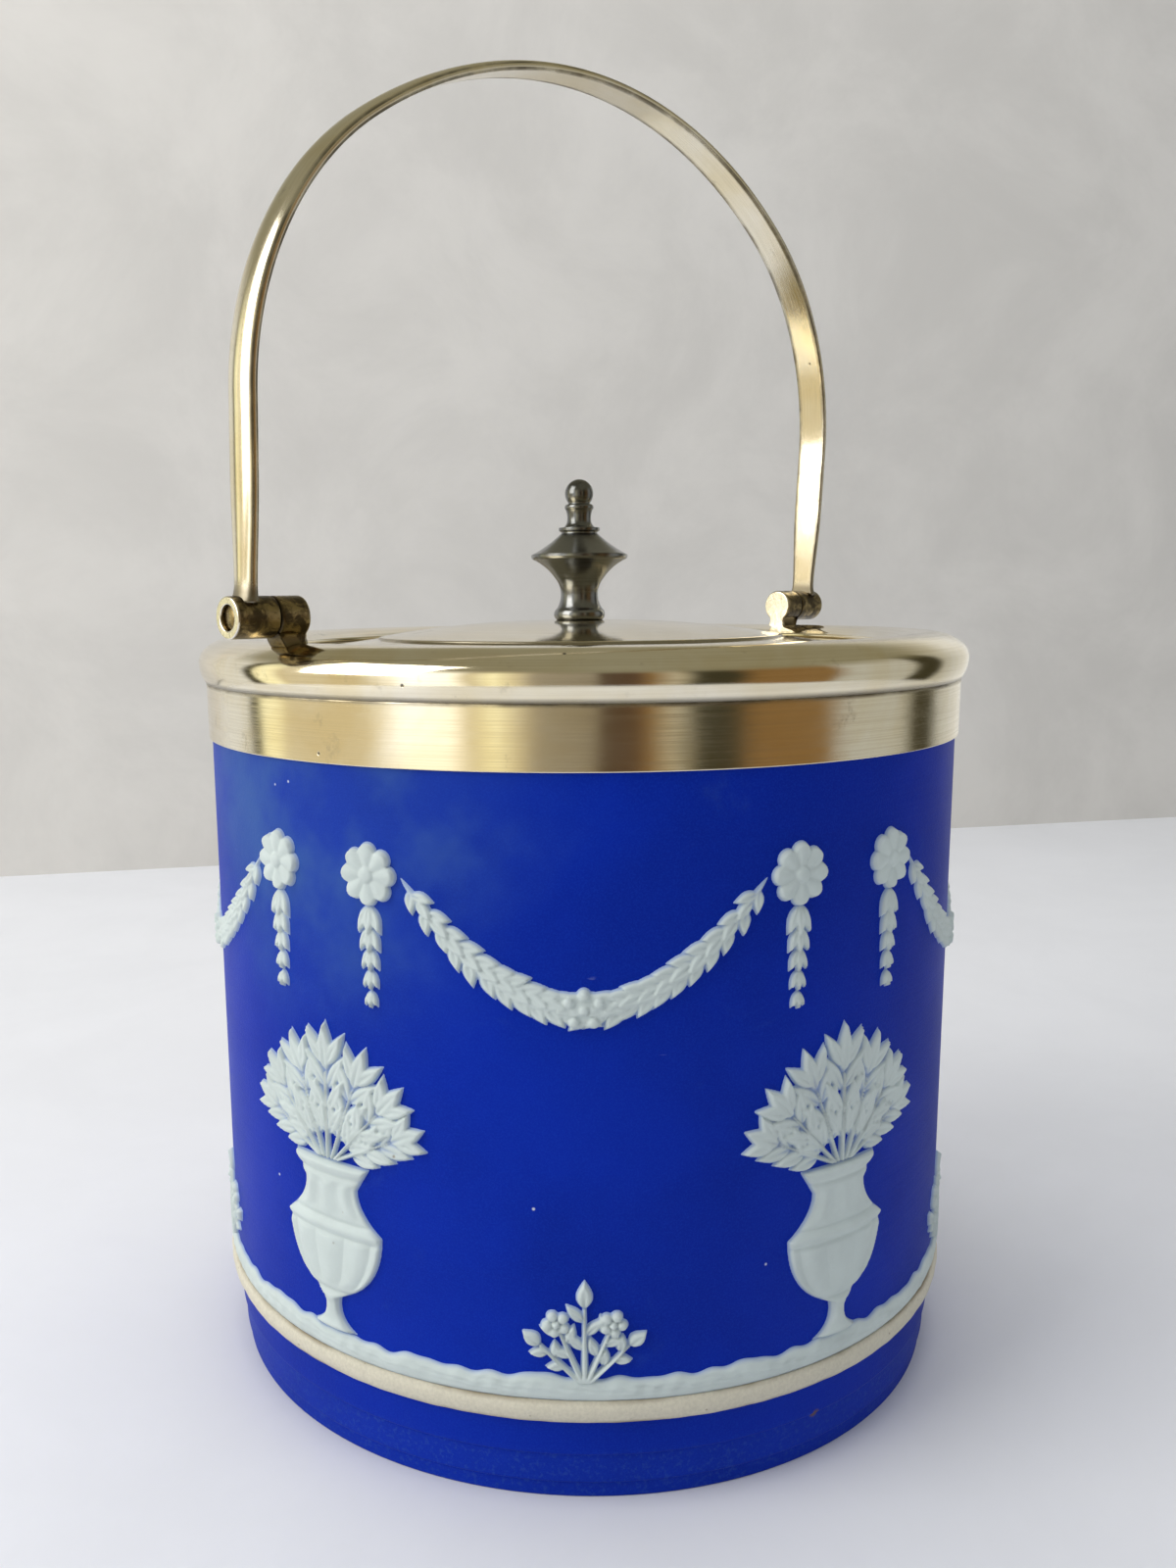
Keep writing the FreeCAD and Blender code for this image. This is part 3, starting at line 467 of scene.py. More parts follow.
@once
def white_finish():
    """White relief clay: the blue ground shows through where it is thin, with pinholes, and painted shade in
    patches where the relief is low by the wall.
    """
    jar, tint = bpy.context.scene.jar_sizes, bpy.context.scene.jar_colours
    look = Finish("white_relief")
    thick = look.math("SUBTRACT", off_axis(look), jar.radius)
    soft = look.noise(160.0, 4.0, 0.55)
    grain = look.noise(2600.0, 3.0, 0.6)
    shade = look.blend(look.ramp(soft, 0.3, 0.7), tint.white, tuple(0.92 * part for part in tint.white))
    blued = look.blend(look.ramp(thick, 0.05 * MM, 0.55 * MM), (0.30, 0.40, 0.62), shade)
    pinholes = look.dots(330.0, 0.13, 0.045)
    # Painted shade in patches where the relief is low, as in its creases by the wall.
    edge_darkening = look.math("MULTIPLY", look.ramp(look.noise(60.0, 4.0, 0.65), 0.56, 0.78, 0.0, 0.4),
                      look.ramp(thick, 0.75 * MM, 0.3 * MM))
    # Pinholes and the painted shade both take this dark colour.
    body = look.blend(look.math("MAXIMUM", pinholes, edge_darkening), blued, (0.36, 0.34, 0.29))
    return look.done(Base_Color=body, Roughness=0.58, Specular_IOR_Level=0.40,
                     Normal=look.bumps((soft, 0.12 * MM), (grain, 0.025 * MM), (pinholes, -0.10 * MM)))


@once
def cream_finish():
    """Cream clay: ivory, speckled, and darker brown in patches towards its upper and lower edges."""
    tint = bpy.context.scene.jar_colours
    look = Finish("cream_band")
    up = look.split()[2]
    bottom, height = low("cream_band"), top("cream_band") - low("cream_band")
    patch = look.noise(90.0, 4.0, 0.6)
    fine = look.noise(1900.0, 3.0, 0.65)
    shade = look.blend(look.ramp(fine, 0.3, 0.7), tint.cream, tuple(0.88 * part for part in tint.cream))
    edge = look.math("ABSOLUTE", look.math("SUBTRACT", up, bottom + height / 2))
    # Darker brown in patches towards the band's upper and lower edges.
    edge_darkening = look.math("MULTIPLY", look.ramp(edge, height * 0.28, height * 0.5),
                      look.ramp(patch, 0.38, 0.68, 0.10, 0.75))
    specks = look.dots(900.0, 0.22, 0.10)
    specks_and_darkening = look.math("MAXIMUM", edge_darkening, look.math("MULTIPLY", specks, 0.6))
    body = look.blend(specks_and_darkening, shade, (0.23, 0.17, 0.09))
    return look.done(Base_Color=body, Roughness=0.6, Specular_IOR_Level=0.4,
                     Normal=look.bumps((look.noise(700.0), 0.05 * MM), (fine, 0.03 * MM)))


def plate_finish(name, streaks, rough, streak_depth, seam=None):
    """Worn warm plate: soft patches of paler silver, fine streaks, pits and tarnish towards a seam.

    streaks(look) gives the vector that the polishing lines follow."""
    tint = bpy.context.scene.jar_colours
    look = Finish(name)
    patch = look.noise(45.0, 4.0, 0.6, warp=0.4)
    lines = look.noise(1.0, 4.0, 0.7, streaks(look))
    pits = look.dots(300.0, 0.10, 0.035)
    stain = look.ramp(look.noise(150.0, 5.0, 0.7), 0.60, 0.80, 0.0, 0.55)
    metal = look.blend(look.ramp(patch, 0.32, 0.68), tint.plate, tint.plate_pale)
    metal = look.blend(look.ramp(lines, 0.35, 0.65, 0.0, 0.16), metal, tint.brass)
    dark = look.math("MAXIMUM", pits, stain)
    if seam is not None:
        dark = look.math("MAXIMUM", dark, seam(look))
    metal = look.blend(look.math("MULTIPLY", dark, 0.85), metal, tint.tarnish)
    uneven = look.ramp(lines, 0.3, 0.7, rough * 0.7, rough * 1.4)
    rough_here = look.math("ADD", uneven, look.math("MULTIPLY", dark, 0.25))
    dents = look.noise(60.0, 2.0, 0.5)
    return look.done(Base_Color=metal, Metallic=1.0, Roughness=rough_here,
                     Normal=look.bumps((dents, 0.10 * MM), (lines, streak_depth), (pits, -0.06 * MM)))


def level_lines(look):
    """Lines that run round the jar: slow round it and fast up it."""
    return look.stretched((25.0, 25.0, 5200.0))


def round_lines(look):
    """Circles round the axis, for a turned and polished top: fast outwards and slow elsewhere."""
    across, along = look.split()[:2]
    outwards = look.math("MULTIPLY", off_axis(look), 3200.0)
    return look.join(outwards, look.math("MULTIPLY", across, 18.0), look.math("MULTIPLY", along, 18.0))


def strip_lines(look):
    """Lines along the handle's strip, from its own map: slow along it and fast across it."""
    way = look.add("ShaderNodeUVMap", uv_map="Way").outputs[0]
    return look.add("ShaderNodeMapping", {"Vector": way, "Scale": (60.0, 4200.0, 1.0)}).outputs[0]


@once
def collar_finish():
    """The collar: brushed round, darker along the seam under the shoulder."""
    def seam(look):
        """Dark towards the collar's upper edge, by a drifting amount."""
        edge = top("collar_band")
        drift = look.ramp(look.noise(130.0, 4.0, 0.6), 0.3, 0.7, 0.35, 1.0)
        return look.math("MULTIPLY", look.ramp(look.split()[2], edge - 0.7 * MM, edge - 0.1 * MM), drift)
    return plate_finish("collar_plate", level_lines, 0.14, 0.009 * MM, seam)


@once
def shoulder_finish():
    """The shoulder: polished, with tarnish in the tuck."""
    def seam(look):
        """Dark towards the shoulder's lower edge."""
        edge = low("shoulder_ring")
        return look.ramp(look.split()[2], edge + 0.9 * MM, edge + 0.1 * MM, 0.0, 0.8)
    return plate_finish("shoulder_plate", level_lines, 0.10, 0.003 * MM, seam)


@once
def lid_finish():
    """The lid: polished in circles, with a dark line at its step."""
    def seam(look):
        """Dark where the distance from the axis is the step's radius."""
        jar = bpy.context.scene.jar_sizes
        gap = look.math("ABSOLUTE", look.math("SUBTRACT", off_axis(look), jar.lid_step))
        return look.ramp(gap, 0.30 * MM, 0.10 * MM, 0.0, 0.7)
    return plate_finish("lid_plate_polish", round_lines, 0.10, 0.003 * MM, seam)


@once
def seat_finish():
    """The seat inside the mouth and the lid's flange: duller plate."""
    return plate_finish("seat_plate", level_lines, 0.26, 0.010 * MM)


@once
def strip_finish():
    """The handle's strip: polished along its length, with tarnished edges and dark roots."""
    def seam(look):
        """Dark at both edges of the strip and at its roots.

        The map's second part runs round the section, from one edge over the face to the other and back."""
        hinge = bpy.context.scene.hinge_sizes
        way = look.split(look.add("ShaderNodeUVMap", uv_map="Way").outputs[0])
        edge = look.math("ABSOLUTE", look.math("SUBTRACT", way[1], hinge.width / 2))
        drift = look.ramp(look.noise(110.0, 4.0, 0.65), 0.30, 0.62, 0.25, 0.90)
        first = look.math("MULTIPLY", look.ramp(edge, hinge.width * 0.40, hinge.width * 0.49),
                          look.ramp(edge, hinge.width * 0.68, hinge.width * 0.56))
        second = look.ramp(edge, hinge.width * 1.36, hinge.width * 1.46)
        sides = look.math("MULTIPLY", look.math("MAXIMUM", first, second), drift)
        root = look.ramp(way[0], 3.6 * MM, 1.2 * MM, 0.0, 0.85)
        return look.math("MAXIMUM", sides, root)
    return plate_finish("strip_plate", strip_lines, 0.15, 0.006 * MM, seam)


@once
def brass_finish():
    """Hinge brass: dark with tarnish, darker below the hinge tube, rubbed bright on the outer ends."""
    hinge, tint = bpy.context.scene.hinge_sizes, bpy.context.scene.jar_colours
    look = Finish("hinge_brass")
    place = look.split()
    patch = look.noise(380.0, 5.0, 0.7, warp=0.5)
    fine = look.noise(1900.0, 3.0, 0.6)
    out = look.math("ABSOLUTE", place[0])
    outer_end = reach("right_handle_knuckle")
    bright = look.ramp(out, outer_end - 0.5 * MM, outer_end - 0.1 * MM)
    inner_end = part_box("right_hinge_lug")[0].x
    bright = look.math("MAXIMUM", bright, look.ramp(out, inner_end + 0.5 * MM, inner_end + 0.1 * MM))
    seam = look.math("ABSOLUTE", look.math("SUBTRACT", out, reach("right_hinge_lug")))
    # Darker below the hinge tube, down the lug's foot.
    under = look.ramp(place[2], hinge.height - 0.6 * hinge.tube, hinge.height - hinge.tube * 1.1)
    dark = look.math("MAXIMUM", look.ramp(seam, 0.55 * MM, 0.1 * MM), look.math("MULTIPLY", under, 0.7))
    dark = look.math("MAXIMUM", dark, look.ramp(patch, 0.38, 0.58, 0.25, 0.92))
    dark = look.math("MULTIPLY", dark, look.math("SUBTRACT", 1.0, look.math("MULTIPLY", bright, 0.9)))
    warm = look.blend(bright, tint.brass, tint.plate_pale)
    metal = look.blend(dark, warm, tint.tarnish)
    return look.done(Base_Color=metal, Metallic=1.0, Roughness=look.ramp(dark, 0.0, 1.0, 0.18, 0.36),
                     Normal=look.bumps((patch, 0.05 * MM), (fine, 0.015 * MM)))


@once
def pewter_finish():
    """The finial: grey satin metal with turning lines, dark where its profile is hollow."""
    tint = bpy.context.scene.jar_colours
    look = Finish("finial_pewter")
    lines = look.noise(1.0, 4.0, 0.7, look.stretched((150.0, 150.0, 9000.0)))
    patch = look.noise(260.0, 4.0, 0.65)
    hollow = look.ramp(off_axis(look), 5.4 * MM, 2.6 * MM, 0.0, 0.45)
    dark = look.math("MAXIMUM", look.math("MULTIPLY", hollow, look.ramp(patch, 0.30, 0.62)),
                     look.ramp(patch, 0.60, 0.78, 0.0, 0.6))
    metal = look.blend(dark, tint.pewter, (0.046, 0.048, 0.046))
    rough = look.ramp(lines, 0.3, 0.7, 0.15, 0.27)
    return look.done(Base_Color=metal, Metallic=1.0, Roughness=rough,
                     Normal=look.bumps((lines, 0.010 * MM), (patch, 0.02 * MM)))


@once
def steel_finish():
    """The washer, nut and stud under the lid: dull grey metal."""
    look = Finish("fastener_steel")
    patch = look.noise(500.0, 4.0, 0.6)
    body = look.blend(look.ramp(patch, 0.3, 0.75), (0.42, 0.41, 0.39), (0.20, 0.18, 0.15))
    return look.done(Base_Color=body, Metallic=1.0, Roughness=0.36, Normal=look.bumps((patch, 0.02 * MM)))


@once
def plaster_finish():
    """Old plaster: chalky and yellowed."""
    look = Finish("old_plaster")
    patch = look.noise(300.0, 5.0, 0.65)
    body = look.blend(look.ramp(patch, 0.3, 0.7), (0.66, 0.60, 0.48), (0.50, 0.43, 0.31))
    return look.done(Base_Color=body, Roughness=0.9, Normal=look.bumps((patch, 0.10 * MM)))


# Relief: heights over the wall on a flat sheet of across and up, in metres. A field is negative outside.

def slope(inside, rise, draft):
    """The height of a shape's body from its inside distance: a smooth step over the draft, and below the
    wall outside."""
    return np.where(inside > 0, rise * smooth(inside / draft), np.maximum(inside, OUTSIDE))


def leaf(across, up, root, lean, long, half, rise, draft, groove=0.30 * MM):
    """One leaf: an oval whose half width is half sin(pi share^0.8), domed across and higher towards its tip,
    with a groove along its midrib that fades to the tip."""
    along = (across - root[0]) * math.sin(lean) + (up - root[1]) * math.cos(lean)
    side = (across - root[0]) * math.cos(lean) - (up - root[1]) * math.sin(lean)
    share = along / long
    width = half * np.sin(np.pi * np.clip(share, 0, 1) ** 0.8)
    beyond = np.maximum(-along, along - long)
    past_ends = -np.hypot(np.maximum(beyond, 0), side)
    inside = np.where((share > 0) & (share < 1), width - np.abs(side), past_ends)
    dome = np.sqrt(np.clip(1 - (side / np.maximum(width, 1e-9)) ** 2, 0, 1))
    lift = 0.55 + 0.45 * np.clip(share, 0, 1)
    body = slope(inside, rise * lift * (0.45 + 0.55 * dome), min(draft, half * 0.6))
    rib = groove * np.exp(-(side / (0.16 * half)) ** 2) * (1 - smooth(share)) * (inside > 0)
    return body - np.where(body > groove, rib, 0)


def stem(across, up, start, end, half, rise, draft):
    """A round stem between two points, whose half width falls from half to half of that."""
    way = np.array(end) - np.array(start)
    span = np.hypot(*way)
    along = ((across - start[0]) * way[0] + (up - start[1]) * way[1]) / span
    side = ((across - start[0]) * way[1] - (up - start[1]) * way[0]) / span
    share = np.clip(along / span, 0, 1)
    width = half * (1 - 0.5 * share)
    inside = width - np.hypot(side, along - share * span)
    dome = np.sqrt(np.clip(1 - (side / width) ** 2, 0, 1))
    return slope(inside, rise * (0.4 + 0.6 * dome), min(draft, half * 0.7))


def button(across, up, centre, radius, rise, draft):
    """A round button or berry: a dome over a circle."""
    far = np.hypot(across - centre[0], up - centre[1])
    dome = np.sqrt(np.clip(1 - (far / radius) ** 2, 0, 1))
    return slope(radius - far, rise * (0.35 + 0.65 * dome), min(draft, radius * 0.5))


def frond(across, up, root, lean, long, spread, rise, draft, pairs=4):
    """A frond: a stem with pairs of small leaves that lean 34 degrees off it, and one at its tip."""
    tip = (root[0] + long * 0.62 * math.sin(lean), root[1] + long * 0.62 * math.cos(lean))
    layers = [stem(across, up, root, tip, 0.42 * MM, rise * 0.8, draft)]
    layers.append(leaf(across, up, tip, lean, long * 0.38, spread * 0.50, rise, draft))
    for index in range(pairs):
        share = 0.16 + 0.50 * index / max(pairs - 1, 1)
        base = (root[0] + long * share * math.sin(lean), root[1] + long * share * math.cos(lean))
        size = long * (0.36 - 0.12 * abs(share - 0.45))
        for side in (-1, 1):
            layers.append(leaf(across, up, base, lean + side * math.radians(34), size, spread * 0.42,
                               rise * (1.0 if index % 2 else 0.80), draft))
    return np.maximum.reduce(layers)


def urn_field(across, up, bottom, tall, wide, rise, draft):
    """An urn in half round: its half width follows the outline, with flutes on the bowl and beads at the
    knot, the girdle and the brim.

    The outline is given in shares of the half width and the height: corners, and a point that each curve
    between two corners passes."""
    corners = [(0.50, 0.00), (0.16, 0.20), (1.00, 0.62), (0.55, 0.86), (0.80, 1.00)]
    through = [(0.20, 0.08), (0.78, 0.36), (0.66, 0.74)]
    rows = []
    for start, middle, end in zip(corners, through, corners[1:]):
        share = np.linspace(0, 1, 13)[:, None]
        pull = 2 * np.array(middle) - (np.array(start) + np.array(end)) / 2
        rows.append((1 - share) ** 2 * start + 2 * share * (1 - share) * pull + share ** 2 * np.array(end))
    line = np.vstack(rows + [np.array([corners[-1]])])
    height = (up - bottom) / tall
    order = np.argsort(line[:, 1])
    half = wide * np.interp(height, line[order, 1], line[order, 0])
    inside = np.minimum(half - np.abs(across), np.minimum(up - bottom, bottom + tall - up))
    part = np.clip(across / half, -1, 1)
    body = 0.30 + 0.70 * np.sqrt(1 - part ** 2)
    bowl = smooth((height - 0.26) / 0.06) * (1 - smooth((height - 0.55) / 0.05))
    flutes = 0.34 * bowl * (np.abs(np.cos(5.0 * np.arcsin(part))) - 0.6)
    neck = smooth((height - 0.68) / 0.05) * (1 - smooth((height - 0.86) / 0.04))
    reeds = 0.14 * neck * np.cos(9.0 * np.arcsin(part))
    beads = ((0.035, 0.22, 0.020), (0.20, 0.26, 0.022), (0.62, 0.24, 0.024), (0.97, 0.22, 0.024))
    grooves = ((0.240, 0.26), (0.575, 0.24), (0.665, 0.24), (0.920, 0.24))
    rings = sum(size * np.exp(-((height - place) / spread) ** 2) for place, size, spread in beads)
    rings = rings - sum(size * np.exp(-((height - place) / 0.014) ** 2) for place, size in grooves)
    return slope(inside, rise * (body + flutes + reeds + rings), draft)


def urn_motif(across, up, size):
    """One urn, standing on the ground strip."""
    return urn_field(across, up, size["ground"], URN_TALL, URN_HALF, size["proud"], size["draft"])


def spray_motif(across, up, size):
    """Seven fronds that rise out of an urn and spread, the outer ones shorter."""
    brim = size["ground"] + URN_TALL
    layers = []
    for index, tilt in enumerate(np.radians([-64, -43, -21, 0, 21, 43, 64])):
        long = 21.0 * MM * (1 - 0.2 * abs(index - 3) / 3)
        root = (math.sin(tilt) * 2.2 * MM, brim + 0.4 * MM)
        rise = size["proud"] * (0.9 + 0.1 * (index % 2))
        layers.append(frond(across, up, root, tilt, long, 3.1 * MM, rise, size["draft"]))
    field = np.maximum.reduce(layers)
    return np.where(up > brim + 0.1 * MM, field, OUTSIDE)


def swag(across, height):
    """The height of a garland's middle line: a parabola that hangs from its two ends."""
    return height - GARLAND_SAG * (1 - (across / GARLAND_HALF) ** 2)


def swag_slope(across):
    """How fast a garland's middle line climbs: the slope of that parabola."""
    return 2 * GARLAND_SAG * across / GARLAND_HALF ** 2


def garland_motif(across, up, size):
    """A garland: a thick bundle of leaves along a hanging line, which point to its middle, with berries
    there. Each step has a leaf in three lanes on both sides: under the line, over it and on it."""
    height, proud, draft = size["garland"], size["proud"], size["draft"]
    thick = GARLAND_DEEP / 2 * np.clip(1 - (across / GARLAND_HALF) ** 2, 0, 1) ** 0.6
    off = (up - swag(across, height)) / np.sqrt(1 + swag_slope(across) ** 2)
    layers = [slope(thick * 0.60 - np.abs(off), proud * 0.35, draft)]
    rng = np.random.default_rng(7)
    for step in np.linspace(0.04, 0.93, 12):
        for side in (-1, 1):
            for lane, turn in ((-0.10, 0.62), (0.10, -0.58), (0.0, 0.02)):
                place = side * GARLAND_HALF * (1 - step - (0.035 if lane == 0 else 0)) * 0.985
                share = max(1 - (place / GARLAND_HALF) ** 2, 0.05) ** 0.6
                inwards = math.atan2(-side, -side * swag_slope(place))
                direction = inwards + side * turn + rng.normal(0, 0.06)
                root = (place, swag(place, height) + lane * GARLAND_DEEP / 2)
                long, half = (3.3 + 2.0 * share) * MM, (0.85 + 0.50 * share) * MM
                rise = proud * (1.0 if lane == 0 else 0.80) * rng.uniform(0.92, 1.0)
                layers.append(leaf(across, up, root, direction, long, half, rise, draft))
    for place, lift in ((0.0, 0.0), (-2.0, 1.0), (2.0, 1.0), (-1.3, -1.7), (1.3, -1.7), (0.0, 2.0)):
        centre = (place * MM, swag(0, height) + lift * MM)
        layers.append(button(across, up, centre, 1.05 * MM, proud * 1.12, draft))
    return np.maximum.reduce(layers)


def rosette_motif(across, up, size):
    """A rosette: eight petals round a button."""
    centre = (0.0, size["garland"])
    far = np.hypot(across, up - centre[1])
    angle = np.arctan2(across, up - centre[1])
    petal = np.abs(np.cos(4 * angle))
    edge = ROSETTE * (0.80 + 0.20 * petal ** 0.6)
    rise = size["proud"] * (0.62 + 0.30 * petal * smooth(far / (3 * MM)))
    body = slope(edge - far, rise, size["draft"])
    return np.maximum(body, button(across, up, centre, 1.5 * MM, size["proud"] * 1.1, size["draft"]))


def drop_motif(across, up, size):
    """A drop of husks under a rosette: pairs of small leaves that open upwards, smaller downwards."""
    start = size["garland"] - 4.2 * MM
    layers = []
    for index in range(5):
        base = start - 3.1 * MM * index
        scale = 1.0 - 0.11 * index
        for tilt in (-0.42, 0.42, 0.0):
            layers.append(leaf(across, up, (0.0, base), math.pi + tilt, 4.9 * MM * scale, 1.05 * MM * scale,
                               size["proud"] * (1.0 if tilt == 0 else 0.8), size["draft"], 0.2 * MM))
    return np.maximum.reduce(layers)


def sprig_motif(across, up, size):
    """A small plant on the ground strip: five stalks with paired leaves, and flowers on two of them."""
    ground = size["ground"] - 0.6 * MM
    rise, draft = size["proud"], size["draft"]
    layers = []
    for index, tilt in enumerate(np.radians([-50, -25, 0, 25, 50])):
        long = 15.0 * MM * (1 - 0.25 * abs(index - 2) / 2)
        end = (long * 0.72 * math.sin(tilt), ground + long * 0.72 * math.cos(tilt))
        layers.append(stem(across, up, (0.4 * MM * (index - 2), ground), end, 0.62 * MM, rise * 0.8, draft))
        if index % 2:
            for turn in np.arange(5) * 2 * np.pi / 5 + tilt:
                petal = (end[0] + 1.25 * MM * math.sin(turn), end[1] + 1.25 * MM * math.cos(turn))
                layers.append(button(across, up, petal, 0.95 * MM, rise * 0.85, draft))
            layers.append(button(across, up, end, 0.7 * MM, rise * 1.05, draft))
        else:
            layers.append(leaf(across, up, end, tilt, long * 0.30, 1.25 * MM, rise * 0.95, draft))
        for share, side in ((0.30, -1), (0.45, 1), (0.58, -1)):
            base = (long * share * math.sin(tilt), ground + long * share * math.cos(tilt))
            layers.append(leaf(across, up, base, tilt + side * 0.75, long * 0.27, 0.95 * MM,
                               rise * 0.85, draft))
    return np.maximum.reduce(layers)


def relief_solid(name, turn, box, motif, size):
    """A closed low relief on the wall. The field is worked out on a grid of cells of across and up; a point
    stands at the wall's radius plus its height, in the direction turn + arcsin(across / radius). Cells that
    lie under the wall everywhere are left out, a back skin lies inside the wall, and side faces join the
    two. A slight waviness, like that of pressed clay, is added where the relief is thick."""
    half, bottom, upper = box
    cell, radius = size["cell"], size["radius"]
    line = np.arange(-half, half + cell, cell)
    column = np.arange(bottom, upper + cell, cell)
    across, up = np.meshgrid(line, column)
    field = motif(across, up, size)
    waves = np.sin(across / (1.9 * MM) + 3 * turn) + np.sin(up / (1.6 * MM) + across / (3.1 * MM))
    field = np.where(field > 0.25 * MM, field + 0.035 * MM * waves, field)
    lifted = field > OUTSIDE * 0.98
    keep = lifted[:-1, :-1] | lifted[1:, :-1] | lifted[:-1, 1:] | lifted[1:, 1:]
    index = np.arange(field.size).reshape(field.shape)
    quads = np.stack([index[:-1, :-1], index[:-1, 1:], index[1:, 1:], index[1:, :-1]], axis=-1)[keep]
    starts, ends = quads.ravel(), np.roll(quads, -1, axis=1).ravel()
    rim = ~np.isin(starts * field.size + ends, ends * field.size + starts)
    first, second = starts[rim], ends[rim]
    sides = np.stack([second, first, first + field.size, second + field.size], axis=1)
    back = quads[:, ::-1] + field.size
    angle = turn + np.arcsin(across / radius)
    rings = [radius + field, radius + np.full_like(field, OUTSIDE * 1.4)]
    skins = [np.stack([ring * np.cos(angle), ring * np.sin(angle), up], axis=-1) for ring in rings]
    points = np.concatenate([skin.reshape(-1, 3) for skin in skins])
    faces = np.concatenate([quads, back, sides])
    used, compact = np.unique(faces, return_inverse=True)
    return solid(name, points[used], compact.reshape(-1, 4))


# Operators: one for each piece or group of like pieces, and one for the stage

class JAR_OT_stoneware(bpy.types.Operator):
    """Turns the stoneware body with its foot, wall, rim and inside"""
    bl_idname = "jar.stoneware"
    bl_label = "Stoneware body"

    def execute(self, context):
        jar = context.scene.jar_sizes
        radius, inside = jar.radius, jar.radius - jar.wall
        step = [radius - inset * MM for inset in (1.6, 1.15, 0.65)]
        rise = [height * MM for height in (2.6, 7.3)]
        neck, rim = radius - 0.8 * MM, top("jar_body")
        band = low("cream_band")
        recess, hollow = step[0] - 8.9 * MM, 1.5 * MM
        round_in = 9.0 * MM
        profile = outline([
            (0, hollow), (recess, hollow), (recess, 0), (step[0], 0), (step[0], rise[0]), (step[1], rise[0]),
            (step[1], rise[1]), (step[2], rise[1]), (step[2], band), (radius, band), (radius, rim - 10 * MM),
            (neck, rim - 10 * MM), (neck, rim), (inside, rim),
            arc((inside, jar.floor + round_in), (inside - round_in, jar.floor), -round_in),
            (0, jar.floor)], 0.35 * MM)

        def throwing(angle, place):
            """The slight unevenness of thrown ware, which grows up the wall."""
            return ripple(angle, (3, 5, 8), 0.05 * MM, 3) * smooth(place / rim)

        piece = turned("stoneware_body", profile, 640, wobble=throwing)
        fit(piece, JAR, BLUE, cobalt_finish(), "jar_body")
        return {"FINISHED"}


class JAR_OT_bands(bpy.types.Operator):
    """Lays the cream band and the white ground strip round the foot"""
    bl_idname = "jar.bands"
    bl_label = "Band and ground strip"

    def execute(self, context):
        jar = context.scene.jar_sizes
        radius, bottom, upper = jar.radius, low("cream_band"), top("cream_band")
        edge_proud, root = 0.5 * MM, 0.3 * MM
        inner, edge = radius - root, radius + edge_proud
        middle = bow((upper - bottom) / 2, jar.band - edge_proud)
        profile = outline([
            (inner, bottom + 0.05 * MM), arc((edge, bottom + 0.05 * MM), (edge, upper - 0.1 * MM), middle),
            (inner, upper - 0.1 * MM)], 0.15 * MM)

        def pressed(angle, place):
            """The unevenness of a band pressed on by hand."""
            return ripple(angle, (7, 16, 31, 57, 90), 0.10 * MM, 11)

        fit(turned("cream_clay_band", profile, 900, wobble=pressed), JAR, CREAM, cream_finish(),
            "cream_band")

        proud, ground = reach("ground_strip") - radius, top("ground_strip")
        angle = circle(1200)[:, None]
        share = np.linspace(0, 1, 15)[None, :]
        crest = ground + ripple(angle, (9, 17, 26, 41, 63, 88), 0.9 * MM, 5)
        sunk, hidden = 0.25 * MM, 0.4 * MM
        bulge = np.sin(np.pi * np.clip(share * 0.93 + 0.07, 0, 1)) ** 0.35
        lump = ripple(angle + 5 * share, (23, 37, 61, 97, 140), 0.22 * MM, 8) * np.sin(np.pi * share)
        out = radius - sunk + (proud + sunk) * bulge + lump
        height = upper - 0.05 * MM + (crest - upper) * share
        points = np.stack([out * np.cos(angle), out * np.sin(angle), height], axis=-1)
        behind = radius - hidden
        back = [np.stack([behind * np.cos(angle), behind * np.sin(angle), end], axis=-1)
                for end in (height[:, -1:], height[:, :1])]
        points = np.concatenate([points] + back, axis=1)
        fit(surface("white_ground_strip", points), JAR, WHITE, white_finish(), "ground_strip")
        return {"FINISHED"}


